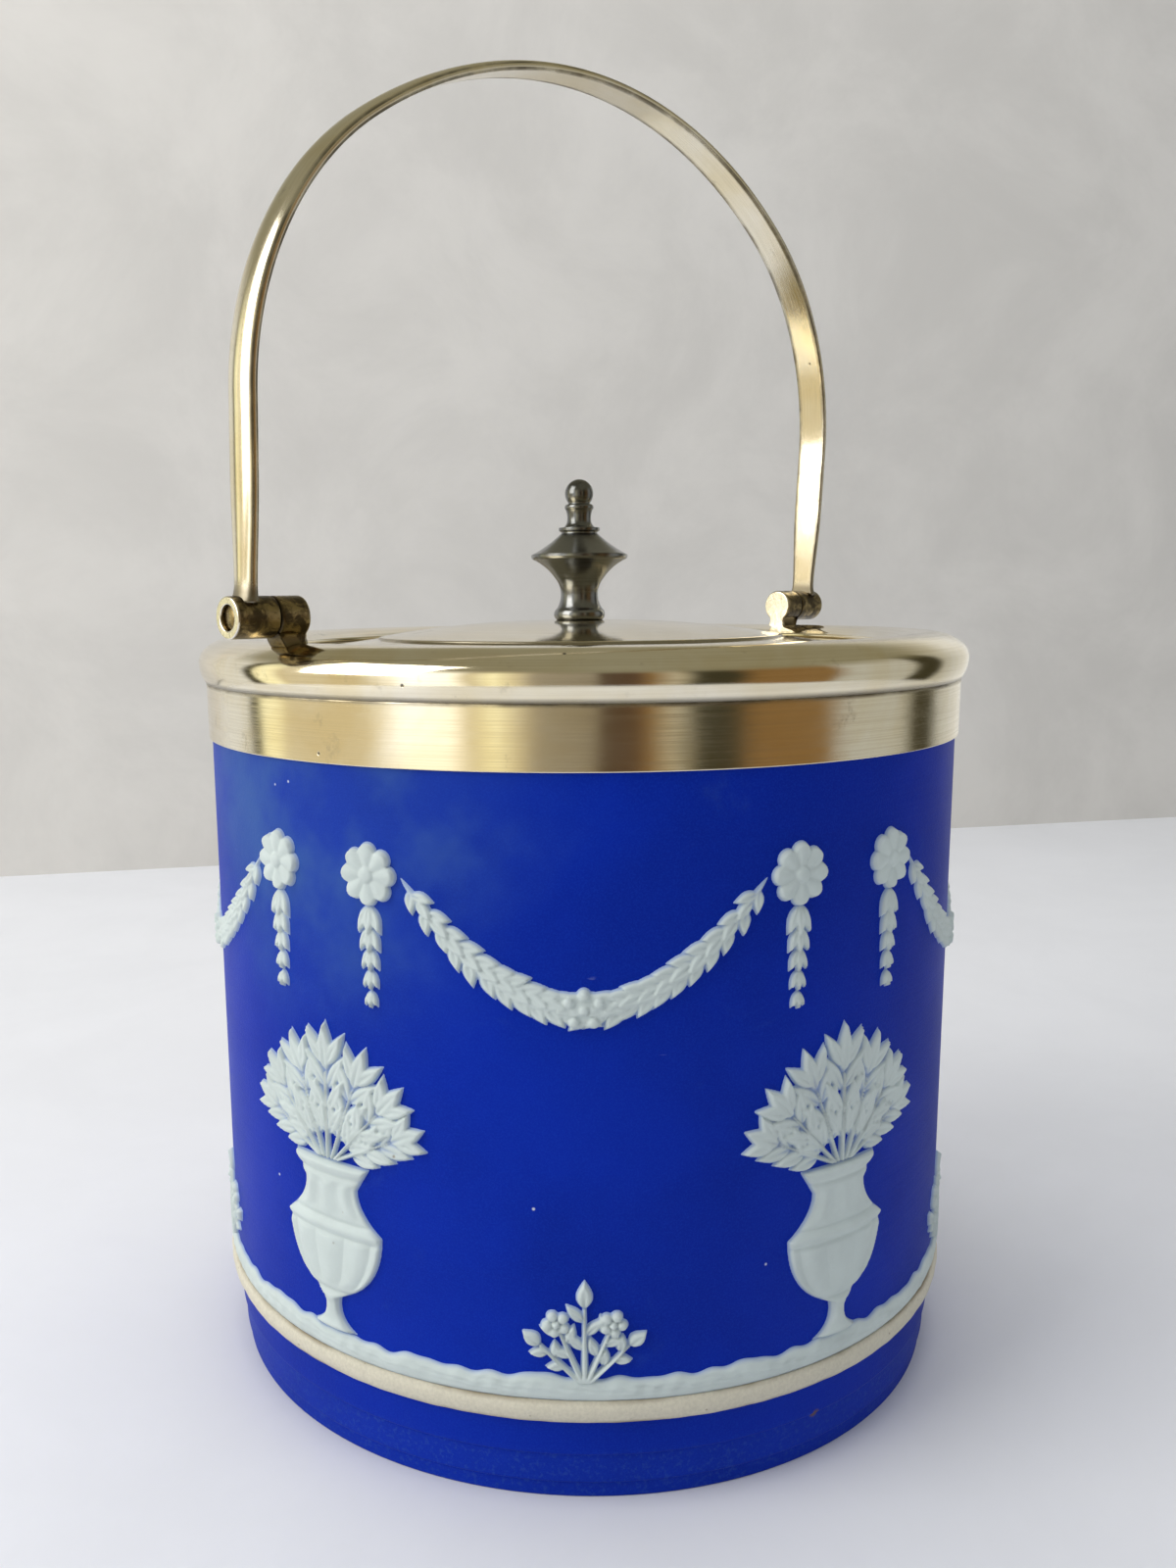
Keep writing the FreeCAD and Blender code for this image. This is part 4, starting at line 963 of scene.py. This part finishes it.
class JAR_OT_relief(bpy.types.Operator):
    """Models the white relief: urns, leaf sprays, garlands, rosettes, drops and sprigs"""
    bl_idname = "jar.relief"
    bl_label = "Relief"

    def execute(self, context):
        jar, relief = context.scene.jar_sizes, context.scene.relief_sizes
        ground = top("ground_strip")
        brim, hook = ground + URN_TALL, top("relief_rosettes") - ROSETTE
        size = {"radius": jar.radius, "proud": relief.proud, "cell": relief.cell, "draft": relief.draft,
                "ground": ground, "garland": hook}
        step = 2 * np.pi / relief.count
        urns = [relief.turn + step * index for index in range(relief.count)]
        between = [turn + step / 2 for turn in urns]
        aside = math.asin((GARLAND_HALF + ROSETTE) / jar.radius)
        hang = [turn + side * aside for turn in between for side in (-1, 1)]
        # For each kind: its node, its places, its motif, the level that its sheet is measured from, and the
        # sheet's half width, foot and head in mm
        kinds = (
            ("urn", "relief_urns", urns, urn_motif, ground, 10.5, -0.4, URN_TALL / MM + 0.5),
            ("leaf_spray", "relief_leaf_sprays", urns, spray_motif, brim, 24.0, 0.0, 23.0),
            ("garland", "relief_garlands", between, garland_motif, hook, 26.5, -22.5, 2.0),
            ("rosette", "relief_rosettes", hang, rosette_motif, hook, 5.4, -5.4, 5.4),
            ("leaf_drop", "relief_drops", hang, drop_motif, hook, 3.4, -22.5, -3.6),
            ("sprig", "relief_sprigs", between, sprig_motif, ground, 14.0, -1.0, 16.5),
        )
        for kind, node, turns, motif, level, half, foot, head in kinds:
            box = (half * MM, level + foot * MM, level + head * MM)
            for number, turn in enumerate(turns, start=1):
                piece = relief_solid("%s_%02d" % (kind, number), turn, box, motif, size)
                fit(piece, JAR, WHITE, white_finish(), node)
        return {"FINISHED"}


class JAR_OT_mount(bpy.types.Operator):
    """Spins the plated collar, the shoulder and the seat of the lid, and finishes the plaster"""
    bl_idname = "jar.mount"
    bl_label = "Collar, shoulder and seat"

    def execute(self, context):
        jar = context.scene.jar_sizes
        radius, sheet = jar.radius, jar.sheet
        outer = reach("collar_band")
        foot, joint = low("collar_band"), top("collar_band")
        collar = outline([(radius, foot), (outer - 0.05 * MM, foot), (outer, joint), (radius, joint)],
                         0.18 * MM)

        def spun(angle, place):
            """The slight unevenness of spun sheet."""
            return ripple(angle, (4, 7, 11, 19), 0.03 * MM, 21)

        fit(turned("plated_collar", collar, 720, wobble=spun), JAR, PLATE, collar_finish(), "collar_band")

        crest_height, wide = top("shoulder_ring"), reach("shoulder_ring")
        edge_radius, tuck_radius = 3.0 * MM, 5.5 * MM

        def form(inset):
            """The shoulder's line from the collar to the lip, moved in by inset: a tuck, a small edge, the
            crown that carries on from it and a dish that falls to the lip."""
            small, tuck = edge_radius - inset, tuck_radius - inset
            peak, run = crest_height - inset, wide - edge_radius - jar.crest
            climb = peak - jar.widest
            crown = (run ** 2 + climb ** 2 - small ** 2) / (2 * (climb - small))
            gap = crown - small
            join = (jar.crest + crown * run / gap, peak - crown + crown * (crown - climb) / gap)
            lip = (jar.lip, jar.lip_height - inset)
            dish = bow(jar.crest - jar.lip, crest_height - jar.lip_height)
            corners = [(outer - inset, joint), (wide - inset, jar.widest), join, (jar.crest, peak), lip]
            radii = [tuck, small, crown, dish]
            return np.vstack([arc(start, end, bend, 12)[index > 0:]
                              for index, (start, end, bend) in enumerate(zip(corners, corners[1:], radii))])

        outside, inside = form(0.0), form(sheet)[::-1]
        lip_edge = arc(outside[-1], inside[0], sheet / 2 * 1.001, 8)[1:-1]
        foot_edge = arc(inside[-1], outside[0], sheet / 2 * 1.6, 6)[1:-1]
        shoulder = np.vstack([outside, lip_edge, inside, foot_edge])
        fit(turned("plated_shoulder", shoulder, 720, wobble=spun), JAR, PLATE, shoulder_finish(),
            "shoulder_ring")

        ledge = low("lid_plate") - 0.15 * MM
        wall, lip = reach("lid_flange") + 0.6 * MM, jar.lip
        edge = jar.lip_height - sheet / 4 - sheet * 0.7
        bottom, under = low("lid_seat"), ledge - sheet
        seat = outline([
            (wall, bottom), (wall + sheet, bottom), (wall + sheet, under), (lip + sheet, under),
            (lip + sheet, edge), (lip, edge), (lip, ledge), (wall, ledge)], 0.3 * MM)
        fit(turned("plated_lid_seat", seat, 512), JAR, PLATE, seat_finish(), "lid_seat")
        refinish("plaster_bed", plaster_finish())
        return {"FINISHED"}


class JAR_OT_hinges(bpy.types.Operator):
    """Models the hinge lugs with their feet, the pins and the knuckles of the handle"""
    bl_idname = "jar.hinges"
    bl_label = "Hinges"

    def lug(self, side, jar, hinge):
        """A lug: at each place along the hinge line its section is a circle that runs down through a waist
        into a foot on the shoulder. Towards its outer end the foot draws up into the circle. Its inner end
        is closed, and its outer end leaves the pin's hole."""
        inner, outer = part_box("right_hinge_lug")[0].x, reach("right_hinge_lug")
        tube, height = hinge.tube, hinge.height
        dish = bow(jar.crest - jar.lip, top("shoulder_ring") - jar.lip_height)
        crown = 7.4 * MM
        places = np.concatenate([[inner], inner + np.array([0.06, 0.2, 0.4]) * MM,
                                 np.linspace(inner + 0.8 * MM, outer - 0.4 * MM, 14),
                                 outer - np.array([0.2, 0.06]) * MM, [outer]])
        from_end = np.minimum(places - inner, outer - places)
        ease = tube - 0.25 * MM * np.clip(1 - from_end / (0.3 * MM), 0, 1) ** 2
        off = places - jar.crest
        bend = np.where(off < 0, dish, crown)
        sunk = 0.15 * MM
        ground = top("shoulder_ring") - (bend - np.sqrt(np.maximum(bend ** 2 - off ** 2, 0))) - sunk
        start = math.radians(-55)
        around = np.linspace(start, math.pi - start, 49)
        cap_y = ease[:, None] * np.cos(around)
        cap_z = height + ease[:, None] * np.sin(around)
        share = np.linspace(0, 1, 13)[1:]
        waist_y, waist_z = cap_y[:, -1:], cap_z[:, -1:]
        reaching = smooth((outer - places) / (1.3 * MM))[:, None]
        foot_z = waist_z + (ground[:, None] - waist_z) * share * reaching
        flare = 0.30 * MM * share ** 4 - 0.10 * MM * np.sin(np.pi * share)
        left_y = waist_y - flare
        base_y = np.linspace(1, -1, 9)[1:-1] * left_y[:, -1:]
        rounding = np.sqrt(np.maximum(ease[:, None] ** 2 - base_y ** 2, 0)) + ease[:, None] * math.sin(start)
        base_z = foot_z[:, -1:] - rounding * (1 - reaching)
        right_y, right_z = -left_y[:, ::-1], foot_z[:, ::-1]
        section_y = np.concatenate([cap_y, left_y, base_y, right_y], axis=1)
        section_z = np.concatenate([cap_z, foot_z, base_z, right_z], axis=1)
        points = np.stack([places[:, None] + 0 * section_y, section_y, section_z], axis=-1)
        angle = np.arctan2(section_z[0] - height, section_y[0])
        bore = hinge.pin + 0.04 * MM

        def closing(place, row, radius, shares):
            """Rings that close an end: from the section to a circle of that radius round the pin."""
            hole = np.stack([0 * angle + place, radius * np.cos(angle), height + radius * np.sin(angle)],
                            axis=-1)
            return [points[row] + (hole - points[row]) * part for part in shares]

        inner_end = closing(inner, 0, 0.0, (1.0, 0.9, 0.5, 0.12, 0.03))
        outer_end = closing(outer, -1, bore, (0.03, 0.12, 0.5, 0.9, 1.0))
        points = np.concatenate([np.array(inner_end), points, np.array(outer_end)])
        return self.handed("hinge_lug", side, points)

    def handed(self, name, side, points):
        """The surface on the +X side, or its mirror image with its rows reversed to face outwards."""
        if side == "left":
            points = (points * np.array([-1, 1, 1]))[::-1]
        return surface("%s_%s" % (side, name), points[::-1], (False, True))

    def execute(self, context):
        jar, hinge = context.scene.jar_sizes, context.scene.hinge_sizes
        for side in ("right", "left"):
            sign = 1 if side == "right" else -1
            fit(weld(self.lug(side, jar, hinge)), JAR, BRASS, brass_finish(), side + "_hinge_lug")

            start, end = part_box("right_handle_knuckle")[0].x, reach("right_handle_knuckle")
            bore = hinge.pin + 0.06 * MM
            tube = outline([(bore, start), (hinge.tube, start), (hinge.tube, end), (bore, end)], 0.28 * MM)
            pin_start, pin_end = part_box("right_hinge_pin")[0].x + 0.2 * MM, reach("right_hinge_pin")
            chamfer, rise = 0.15 * MM, 0.30 * MM
            dome = arc((hinge.pin, pin_end - rise), (0, pin_end), bow(hinge.pin, rise), 14)
            pin = np.vstack([(0, pin_start), (hinge.pin - chamfer, pin_start),
                             (hinge.pin, pin_start + chamfer), dome])
            for name, profile, body, node in (("knuckle", tube, HANDLE, "_handle_knuckle"),
                                              ("pin", pin, JAR, "_hinge_pin")):
                shaped = self.facing(profile * np.array([1, sign]))
                piece = turned("%s_hinge_%s" % (side, name), shaped, 96, axis="X")
                piece.data.transform(Matrix.Translation((0, 0, hinge.height)))
                fit(piece, body, BRASS, brass_finish(), side + node)
        return {"FINISHED"}

    def facing(self, profile):
        """The outline in the order that turns its faces outwards, in which its signed area is positive."""
        ring = np.vstack([profile, profile[:1]])
        area = np.sum(ring[:-1, 0] * ring[1:, 1] - ring[1:, 0] * ring[:-1, 1])
        return profile if area > 0 else profile[::-1]


class JAR_OT_handle(bpy.types.Operator):
    """Bends the handle's half-round strip along its legs and its three-centred arch"""
    bl_idname = "jar.handle"
    bl_label = "Handle"

    def path(self, hinge, start):
        """Places, directions and lengths along the strip's middle line: a leg, a side arc, the crown and
        back. Each stretch is a line or an arc sampled in equal steps. The crown's radius lets it meet both
        side arcs in line."""
        climb = hinge.rise - hinge.leg
        run = hinge.span - hinge.side
        crown = (run ** 2 + climb ** 2 - hinge.side ** 2) / (2 * (climb - hinge.side))
        half_turn = math.asin(run / (crown - hinge.side))
        leg = np.linspace(start, hinge.leg, 60)
        leg_points = np.stack([np.full_like(leg, hinge.span), leg], axis=1)
        angle = np.linspace(0, np.pi / 2 - half_turn, 70)[1:]
        side = np.stack([run + hinge.side * np.cos(angle), hinge.leg + hinge.side * np.sin(angle)], axis=1)
        angle = np.linspace(np.pi / 2 - half_turn, np.pi / 2, 50)[1:]
        arch = np.stack([crown * np.cos(angle), hinge.rise - crown + crown * np.sin(angle)], axis=1)
        right = np.vstack([leg_points, side, arch])
        left = right[:-1][::-1] * np.array([-1, 1])
        line = np.vstack([right, left])
        step = np.gradient(line, axis=0)
        way = step / np.hypot(*step.T)[:, None]
        distance = np.concatenate([[0], np.cumsum(np.hypot(*np.diff(line, axis=0).T))])
        return line, way, distance

    def execute(self, context):
        hinge = context.scene.hinge_sizes
        foot_height, taper = 2.2 * MM, 17 * MM
        line, way, distance = self.path(hinge, foot_height)
        from_foot = np.minimum(distance, distance[-1] - distance)
        swell = 0.9 * MM * np.exp(-from_foot / (0.75 * MM))
        half = (hinge.foot + (hinge.width - hinge.foot) * smooth(from_foot / taper)) / 2 + swell * 0.6
        thick = hinge.thickness + swell
        # The section, in shares of half the width and of the thickness: a bulging face, walls, a flat back
        share = np.linspace(-1, 1, 25)
        bulge = np.sqrt(1 - (share * 0.985) ** 2) ** 0.9
        flat = hinge.edge / hinge.thickness * 0.9
        wall = np.array([[1.0, 0.22], [0.985, 0.05], [0.94, 0.0]])
        under = np.stack([np.linspace(0.8, -0.8, 7), np.zeros(7)], axis=1)
        section = np.vstack([np.stack([share, flat + (1 - flat) * bulge], axis=1), wall, under,
                             wall[::-1] * np.array([-1, 1])])
        out = section[None, :, 1] * thick[:, None] - hinge.thickness / 2
        across = section[None, :, 0] * half[:, None]
        normal = np.stack([way[:, 1], -way[:, 0]], axis=1)
        x = line[:, :1] + normal[:, :1] * out
        z = line[:, 1:] + normal[:, 1:] * out
        lean = hinge.lean
        points = np.stack([x, across * math.cos(lean) - z * math.sin(lean),
                           hinge.height + across * math.sin(lean) + z * math.cos(lean)], axis=-1)
        first, last = [end.mean(axis=1, keepdims=True) + 0 * end for end in (points[:1], points[-1:])]
        points = np.concatenate([first, points, last])
        along = np.concatenate([from_foot[:1], from_foot, from_foot[-1:]])[:, None] + 0 * points[:, :, 0]
        round_way = np.cumsum(np.abs(np.diff(section[:, 0], prepend=section[0, 0]))) * hinge.width / 2
        uv = np.stack([along, round_way[None, :] + 0 * along], axis=-1)
        piece = weld(surface("handle_strip", points, (False, True), uv))
        fit(piece, HANDLE, PLATE, strip_finish(), "handle_bow")
        return {"FINISHED"}


class JAR_OT_lid(bpy.types.Operator):
    """Spins the low domed lid and its flange"""
    bl_idname = "jar.lid"
    bl_label = "Lid"

    def execute(self, context):
        jar = context.scene.jar_sizes
        apex, sheet = top("lid_plate"), 0.9 * MM
        outer = reach("lid_plate") - sheet * 0.4
        edge, step, drop = apex - 5.0 * MM, apex - 2.6 * MM, 0.3 * MM
        run = jar.lid_step - jar.lid_pad
        dome = arc((jar.lid_step, step), (jar.lid_pad, apex), bow(run, apex - step), 40)
        under = arc((jar.lid_pad, apex - sheet), (jar.lid_step, step - drop - sheet),
                    -bow(run, apex - step + drop), 30)
        rim = arc((outer, edge - sheet), (outer, edge), sheet * 0.51, 12)
        lower = np.linspace((outer, edge), (jar.lid_step + 0.35 * MM, step - drop), 12)[1:]
        profile = np.vstack([(STUD_HOLE, apex - sheet), under, rim, lower,
                             (jar.lid_step + 0.12 * MM, step - drop * 0.95),
                             (jar.lid_step + 0.02 * MM, step - drop * 0.2), dome, (STUD_HOLE, apex)])
        fit(turned("domed_lid", profile, 720), LID, PLATE, lid_finish(), "lid_plate")

        wall, bottom, upper = reach("lid_flange"), low("lid_flange"), top("lid_flange")
        inside = wall - 0.8 * MM
        flange = outline([(inside, bottom), (wall, bottom), (wall, upper - 0.15 * MM), (inside, upper)],
                         0.2 * MM)
        fit(turned("lid_flange_ring", flange, 384), LID, PLATE, seat_finish(), "lid_flange")
        return {"FINISHED"}


class JAR_OT_finial(bpy.types.Operator):
    """Turns the three pieces of the finial, and finishes the fasteners under the lid"""
    bl_idname = "jar.finial"
    bl_label = "Finial"

    def above(self, level):
        """Gives a function for outline points, each from a radius and a height over that level, in mm."""
        return lambda radius, height: (radius * MM, level + height * MM)

    def execute(self, context):
        base = top("lid_plate")
        rim = base + 11.2 * MM
        crown = rim + 4.6 * MM
        ring = crown + 4.0 * MM
        at, over, upon = self.above(base), self.above(rim), self.above(crown)

        bead = arc(at(3.97, 0.0), at(3.97, 2.0), 1.25 * MM, 12)
        lower = arc(at(3.97, 2.0), at(3.25, 4.4), -4.36 * MM, 10)[1:]
        upper = arc(at(3.25, 4.4), at(4.3, 7.3), -4.53 * MM, 10)[1:]
        sweep = arc(at(4.3, 7.3), at(8.25, 10.5), -9.5 * MM, 14)[1:]
        brim = outline([at(8.25, 10.5), at(8.4, 10.85), at(8.4, 11.2)], 0.08 * MM)[CORNER_POINTS - 1:]
        spool = np.vstack([(STUD_HOLE, base), bead, lower, upper, sweep, brim, (STUD_HOLE, rim)])

        slopes = arc(over(8.32, 0.0), over(3.05, 3.75), -22.0 * MM, 18)
        collet = outline([over(3.05, 3.75), over(3.55, 4.1), over(3.55, 4.6), (STUD_HOLE, crown)], 0.09 * MM)
        collet = collet[CORNER_POINTS:3 * CORNER_POINTS]
        cone = np.vstack([(STUD_HOLE, rim), slopes, collet, (STUD_HOLE, crown)])

        foot = arc(upon(2.85, 0.0), upon(2.1, 1.1), -1.6 * MM, 8)
        neck = arc(upon(2.1, 1.1), upon(2.31, 3.0), -4.0 * MM, 8)[1:]
        bulge = arc(upon(2.31, 3.0), upon(2.31, 3.9), 0.62 * MM, 8)[1:]
        ball_radius, ball_neck, ball_foot = 2.45 * MM, 1.9 * MM, ring + 0.2 * MM
        ball_top = ball_foot + math.sqrt(ball_radius ** 2 - ball_neck ** 2) + ball_radius
        ball = arc((ball_neck, ball_foot), (0, ball_top), ball_radius, 24)
        knob = np.vstack([(0, crown), foot, neck, bulge, (ball_neck, ring + 0.02 * MM), ball])
        for name, profile, node in (("finial_lower", spool, "finial_spool"),
                                    ("finial_middle", cone, "finial_cone"),
                                    ("finial_top", knob, "finial_ball")):
            fit(turned(name, profile, 160), LID, PEWTER, pewter_finish(), node)
        for node in ("finial_washer", "finial_nut", "finial_stud"):
            refinish(node, steel_finish())
        return {"FINISHED"}


class JAR_OT_stage(bpy.types.Operator):
    """Sets the pale table and wall, the lamps, the mirrored room and the camera"""
    bl_idname = "jar.stage"
    bl_label = "Stage"

    def plane(self, name, corners, finish):
        """A flat stage piece from its four corners."""
        mesh = bpy.data.meshes.new(name)
        mesh.from_pydata(corners, [], [(0, 1, 2, 3)])
        piece = bpy.data.objects.new(name, mesh)
        bpy.context.scene.collection.objects.link(piece)
        mesh.materials.append(finish)
        return piece

    def plain(self, name, tint, rough, extent, mottle):
        """A plain stage finish. Reflections see it only within that extent of the jar, and the room beyond.
        Far from the jar it fades into the plain background."""
        look = Finish(name)
        cloud = look.noise(11.0, 6.0, 0.65, warp=0.4)
        shade = look.blend(look.ramp(cloud, 0.32, 0.68), tint, tuple((1 - mottle) * part for part in tint))
        material = look.done(Base_Color=shade, Roughness=rough, Specular_IOR_Level=0.3)
        rays = look.add("ShaderNodeLightPath").outputs
        beyond = look.math("MAXIMUM", look.ramp(off_axis(look), extent, extent + 0.08),
                           look.ramp(look.split()[2], 0.30, 0.42))
        far_off = look.math("MULTIPLY", rays["Is Camera Ray"], look.ramp(off_axis(look), 0.75, 1.25))
        mirrored_off = look.math("MULTIPLY", rays["Is Glossy Ray"], beyond)
        clear = look.add("ShaderNodeBsdfTransparent").outputs[0]
        mix = look.add("ShaderNodeMixShader", {0: look.math("MAXIMUM", far_off, mirrored_off),
                                               1: look.shader.outputs[0], 2: clear})
        look.tree.links.new(mix.outputs[0], look.tree.nodes["Material Output"].inputs["Surface"])
        return material

    def room(self, scene, turn):
        """The room that the metal mirrors: pale walls, a window to the left, dark furniture to the right.

        The colour follows the direction round the jar, in degrees from its front, and turns into one colour
        upwards. What the camera itself sees past the table is plain and pale."""
        world = bpy.data.worlds.new("room_light")
        scene.world = world
        world.use_nodes = True
        tree = world.node_tree

        def add(kind, inputs=None, **settings):
            """A node of the world."""
            return add_node(tree, kind, inputs, **settings)

        direction = add("ShaderNodeTexCoord").outputs["Generated"]
        turned_round = add("ShaderNodeVectorRotate", {"Vector": direction, "Angle": turn},
                           rotation_type="Z_AXIS").outputs[0]
        side, away, up = add("ShaderNodeSeparateXYZ", {0: turned_round}).outputs
        toward = add("ShaderNodeMath", {0: 0.0, 1: away}, operation="SUBTRACT").outputs[0]
        bearing = add("ShaderNodeMath", {0: side, 1: toward}, operation="ARCTAN2").outputs[0]
        share = add("ShaderNodeMapRange", {
            "Value": bearing, "From Min": -math.pi, "From Max": math.pi}).outputs[0]
        walls = add("ShaderNodeValToRGB", {"Fac": share})
        ramp = walls.color_ramp
        pale, grey, gold = (0.80, 0.79, 0.75), (0.50, 0.50, 0.47), (0.75, 0.66, 0.46)
        wood, dark, light = (0.25, 0.15, 0.06), (0.05, 0.045, 0.025), (1.5, 1.5, 1.45)
        glow, tan = (1.2, 1.15, 0.8), (0.5, 0.45, 0.33)
        stops = ((-180, pale), (-113, pale), (-110, dark), (-107, dark), (-105, glow), (-98, glow),
                 (-93, gold), (-62, gold), (-49, light), (-36, light), (-31, gold), (-24, glow), (-17, gold),
                 (-12, (0.36, 0.32, 0.25)), (3, (0.30, 0.26, 0.19)), (6, (0.10, 0.07, 0.045)),
                 (15, (0.10, 0.06, 0.035)), (20, wood), (27, tan), (33, dark), (43, dark), (50, wood),
                 (74, wood), (81, grey), (106, grey), (111, dark), (121, dark), (126, grey), (150, pale))
        while len(ramp.elements) < len(stops):
            ramp.elements.new(0.5)
        for element, (degrees, tint) in zip(ramp.elements, stops):
            element.position = degrees / 360 + 0.5
            element.color = (*tint, 1.0)
        height = add("ShaderNodeMapRange", {"Value": up, "From Min": 0.25, "From Max": 0.60},
                     interpolation_type="SMOOTHSTEP").outputs[0]
        mirrored = mix_colours(tree, height, walls.outputs[0], (0.28, 0.26, 0.18))
        rays = add("ShaderNodeLightPath").outputs
        shine = add("ShaderNodeBackground", {"Color": mirrored, "Strength": 1.0}).outputs[0]
        seen = add("ShaderNodeBackground", {"Color": (0.86, 0.85, 0.83, 1.0), "Strength": 1.0}).outputs[0]
        soft = add("ShaderNodeBackground", {"Color": (0.90, 0.94, 1.0, 1.0), "Strength": 0.30}).outputs[0]
        plain = add("ShaderNodeMath", {0: rays["Is Camera Ray"], 1: rays["Is Transmission Ray"]},
                    operation="MAXIMUM").outputs[0]
        first = add("ShaderNodeMixShader", {0: plain, 1: soft, 2: seen}).outputs[0]
        second = add("ShaderNodeMixShader", {0: rays["Is Glossy Ray"], 1: first, 2: shine}).outputs[0]
        tree.links.new(second, tree.nodes["World Output"].inputs["Surface"])

    def lamp(self, name, place, target, size, power, tint, mirrored):
        """A soft square lamp that looks at a target. The metal mirrors it only if mirrored is true."""
        light = bpy.data.lights.new(name, "AREA")
        light.shape = "RECTANGLE"
        light.size, light.size_y = size
        light.energy = power
        light.color = tint
        item = bpy.data.objects.new(name, light)
        item.location = place
        item.rotation_euler = (Vector(target) - Vector(place)).to_track_quat("-Z", "Y").to_euler()
        item.visible_glossy = mirrored
        bpy.context.scene.collection.objects.link(item)

    def view(self, scene, spin):
        """The camera, in the photograph's frame: its place, turns and lens follow from the jar's rims and
        sides there. Its axes are turned by yaw, then pitch, then roll, and last by spin round the jar."""
        distance, height = 232.6 * MM, 129.1 * MM
        yaw, pitch, roll = -0.0399, 0.1683, -0.0093
        focal_pixels, frame_height = 1336.97, 1600.0
        centre_offset = (60.8, 32.5)
        ahead = np.array([math.sin(yaw), math.cos(yaw), 0.0])
        right = np.array([math.cos(yaw), -math.sin(yaw), 0.0])
        up = np.array([0.0, 0.0, 1.0])
        forward = ahead * math.cos(pitch) - up * math.sin(pitch)
        upward = up * math.cos(pitch) + ahead * math.sin(pitch)
        across = right * math.cos(roll) + upward * math.sin(roll)
        rising = upward * math.cos(roll) - right * math.sin(roll)
        place = spin @ np.array([0.0, -distance, height])
        axes = [spin @ axis for axis in (across, rising, -forward)]
        data = bpy.data.cameras.new("view")
        data.sensor_fit = "VERTICAL"
        data.sensor_height = data.sensor_width = 36.0
        data.lens = focal_pixels / frame_height * data.sensor_height
        data.shift_x = centre_offset[0] / frame_height
        data.shift_y = centre_offset[1] / frame_height
        data.clip_start, data.clip_end = 0.01, 20.0
        camera = bpy.data.objects.new("view", data)
        matrix = Matrix.Identity(4)
        for column, axis in enumerate(axes):
            for row in range(3):
                matrix[row][column] = axis[row]
        matrix.translation = Vector(place)
        camera.matrix_world = matrix
        scene.collection.objects.link(camera)
        scene.camera = camera

    def execute(self, context):
        scene = context.scene
        turn = math.radians(46.0)
        spin = np.array([[math.cos(turn), math.sin(turn), 0.0], [-math.sin(turn), math.cos(turn), 0.0],
                         [0.0, 0.0, 1.0]])
        self.view(scene, spin)

        def stage_point(side, away, up_at):
            """A place given to the right of the camera's line, away along it from the jar, and up."""
            return Vector(spin @ np.array([side, away, up_at]))

        table = self.plain("table_white", (0.79, 0.80, 0.83), 0.5, 0.30, 0.04)
        wall = self.plain("wall_pale", (0.74, 0.715, 0.67), 0.9, 0.50, 0.11)
        half, head, foot = 3.0, 2.5, -0.01
        corners = ((-half, -half), (half, -half), (half, half), (-half, half))
        self.plane("table", [stage_point(side, away, 0) for side, away in corners], table)
        # The wall stands askew: how far it is behind the jar to the left and to the right, and how far
        # apart those two places are
        left_far, right_far, apart = 0.34, 0.52, 0.7
        slant, middle = (right_far - left_far) / apart, (right_far + left_far) / 2
        corners = ((-half, foot), (half, foot), (half, head), (-half, head))
        self.plane("wall", [stage_point(side, middle + side * slant, level) for side, level in corners],
                   wall)
        for name, place, size, power, tint, mirrored in (
                ("window", (-0.85, -0.40, 0.60), (0.7, 0.9), 7.6, (1.0, 0.985, 0.95), True),
                ("room", (0.9, -0.7, 0.7), (0.9, 0.9), 1.7, (0.93, 0.96, 1.0), False),
                ("overhead", (-0.1, 0.05, 1.1), (0.9, 0.9), 6.0, (1.0, 1.0, 1.0), False)):
            self.lamp(name, stage_point(*place), (0, 0, 0.08), size, power, tint, mirrored)
        self.room(scene, turn)
        scene.view_settings.view_transform = "Standard"
        return {"FINISHED"}


OPERATORS = (JAR_OT_stoneware, JAR_OT_bands, JAR_OT_relief, JAR_OT_mount, JAR_OT_hinges, JAR_OT_handle,
             JAR_OT_lid, JAR_OT_finial, JAR_OT_stage)


class JAR_PT_panel(bpy.types.Panel):
    """Lists the steps that build the jar, and its sizes and colours"""
    bl_idname = "JAR_PT_panel"
    bl_label = "Biscuit Jar"
    bl_space_type = "VIEW_3D"
    bl_region_type = "UI"
    bl_category = "Biscuit Jar"

    def draw(self, context):
        for step in OPERATORS:
            self.layout.operator(step.bl_idname)
        for holder, kind in GROUPS:
            group = getattr(context.scene, holder)
            for name in kind.__annotations__:
                self.layout.prop(group, name)


GROUPS = (("jar_sizes", JarSizes), ("hinge_sizes", HingeSizes), ("relief_sizes", ReliefSizes),
          ("jar_colours", JarColours))


def register():
    """Registers the groups, the operators and the panel."""
    for name, group in GROUPS:
        bpy.utils.register_class(group)
        setattr(bpy.types.Scene, name, PointerProperty(type=group))
    for item in OPERATORS + (JAR_PT_panel,):
        bpy.utils.register_class(item)


def unregister():
    """Takes back what register did."""
    for item in (JAR_PT_panel,) + OPERATORS[::-1]:
        bpy.utils.unregister_class(item)
    for name, group in GROUPS[::-1]:
        delattr(bpy.types.Scene, name)
        bpy.utils.unregister_class(group)


def main():
    """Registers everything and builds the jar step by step."""
    register()
    for step in OPERATORS:
        family, name = step.bl_idname.split(".")
        getattr(getattr(bpy.ops, family), name)()


if __name__ == "__main__":
    main()
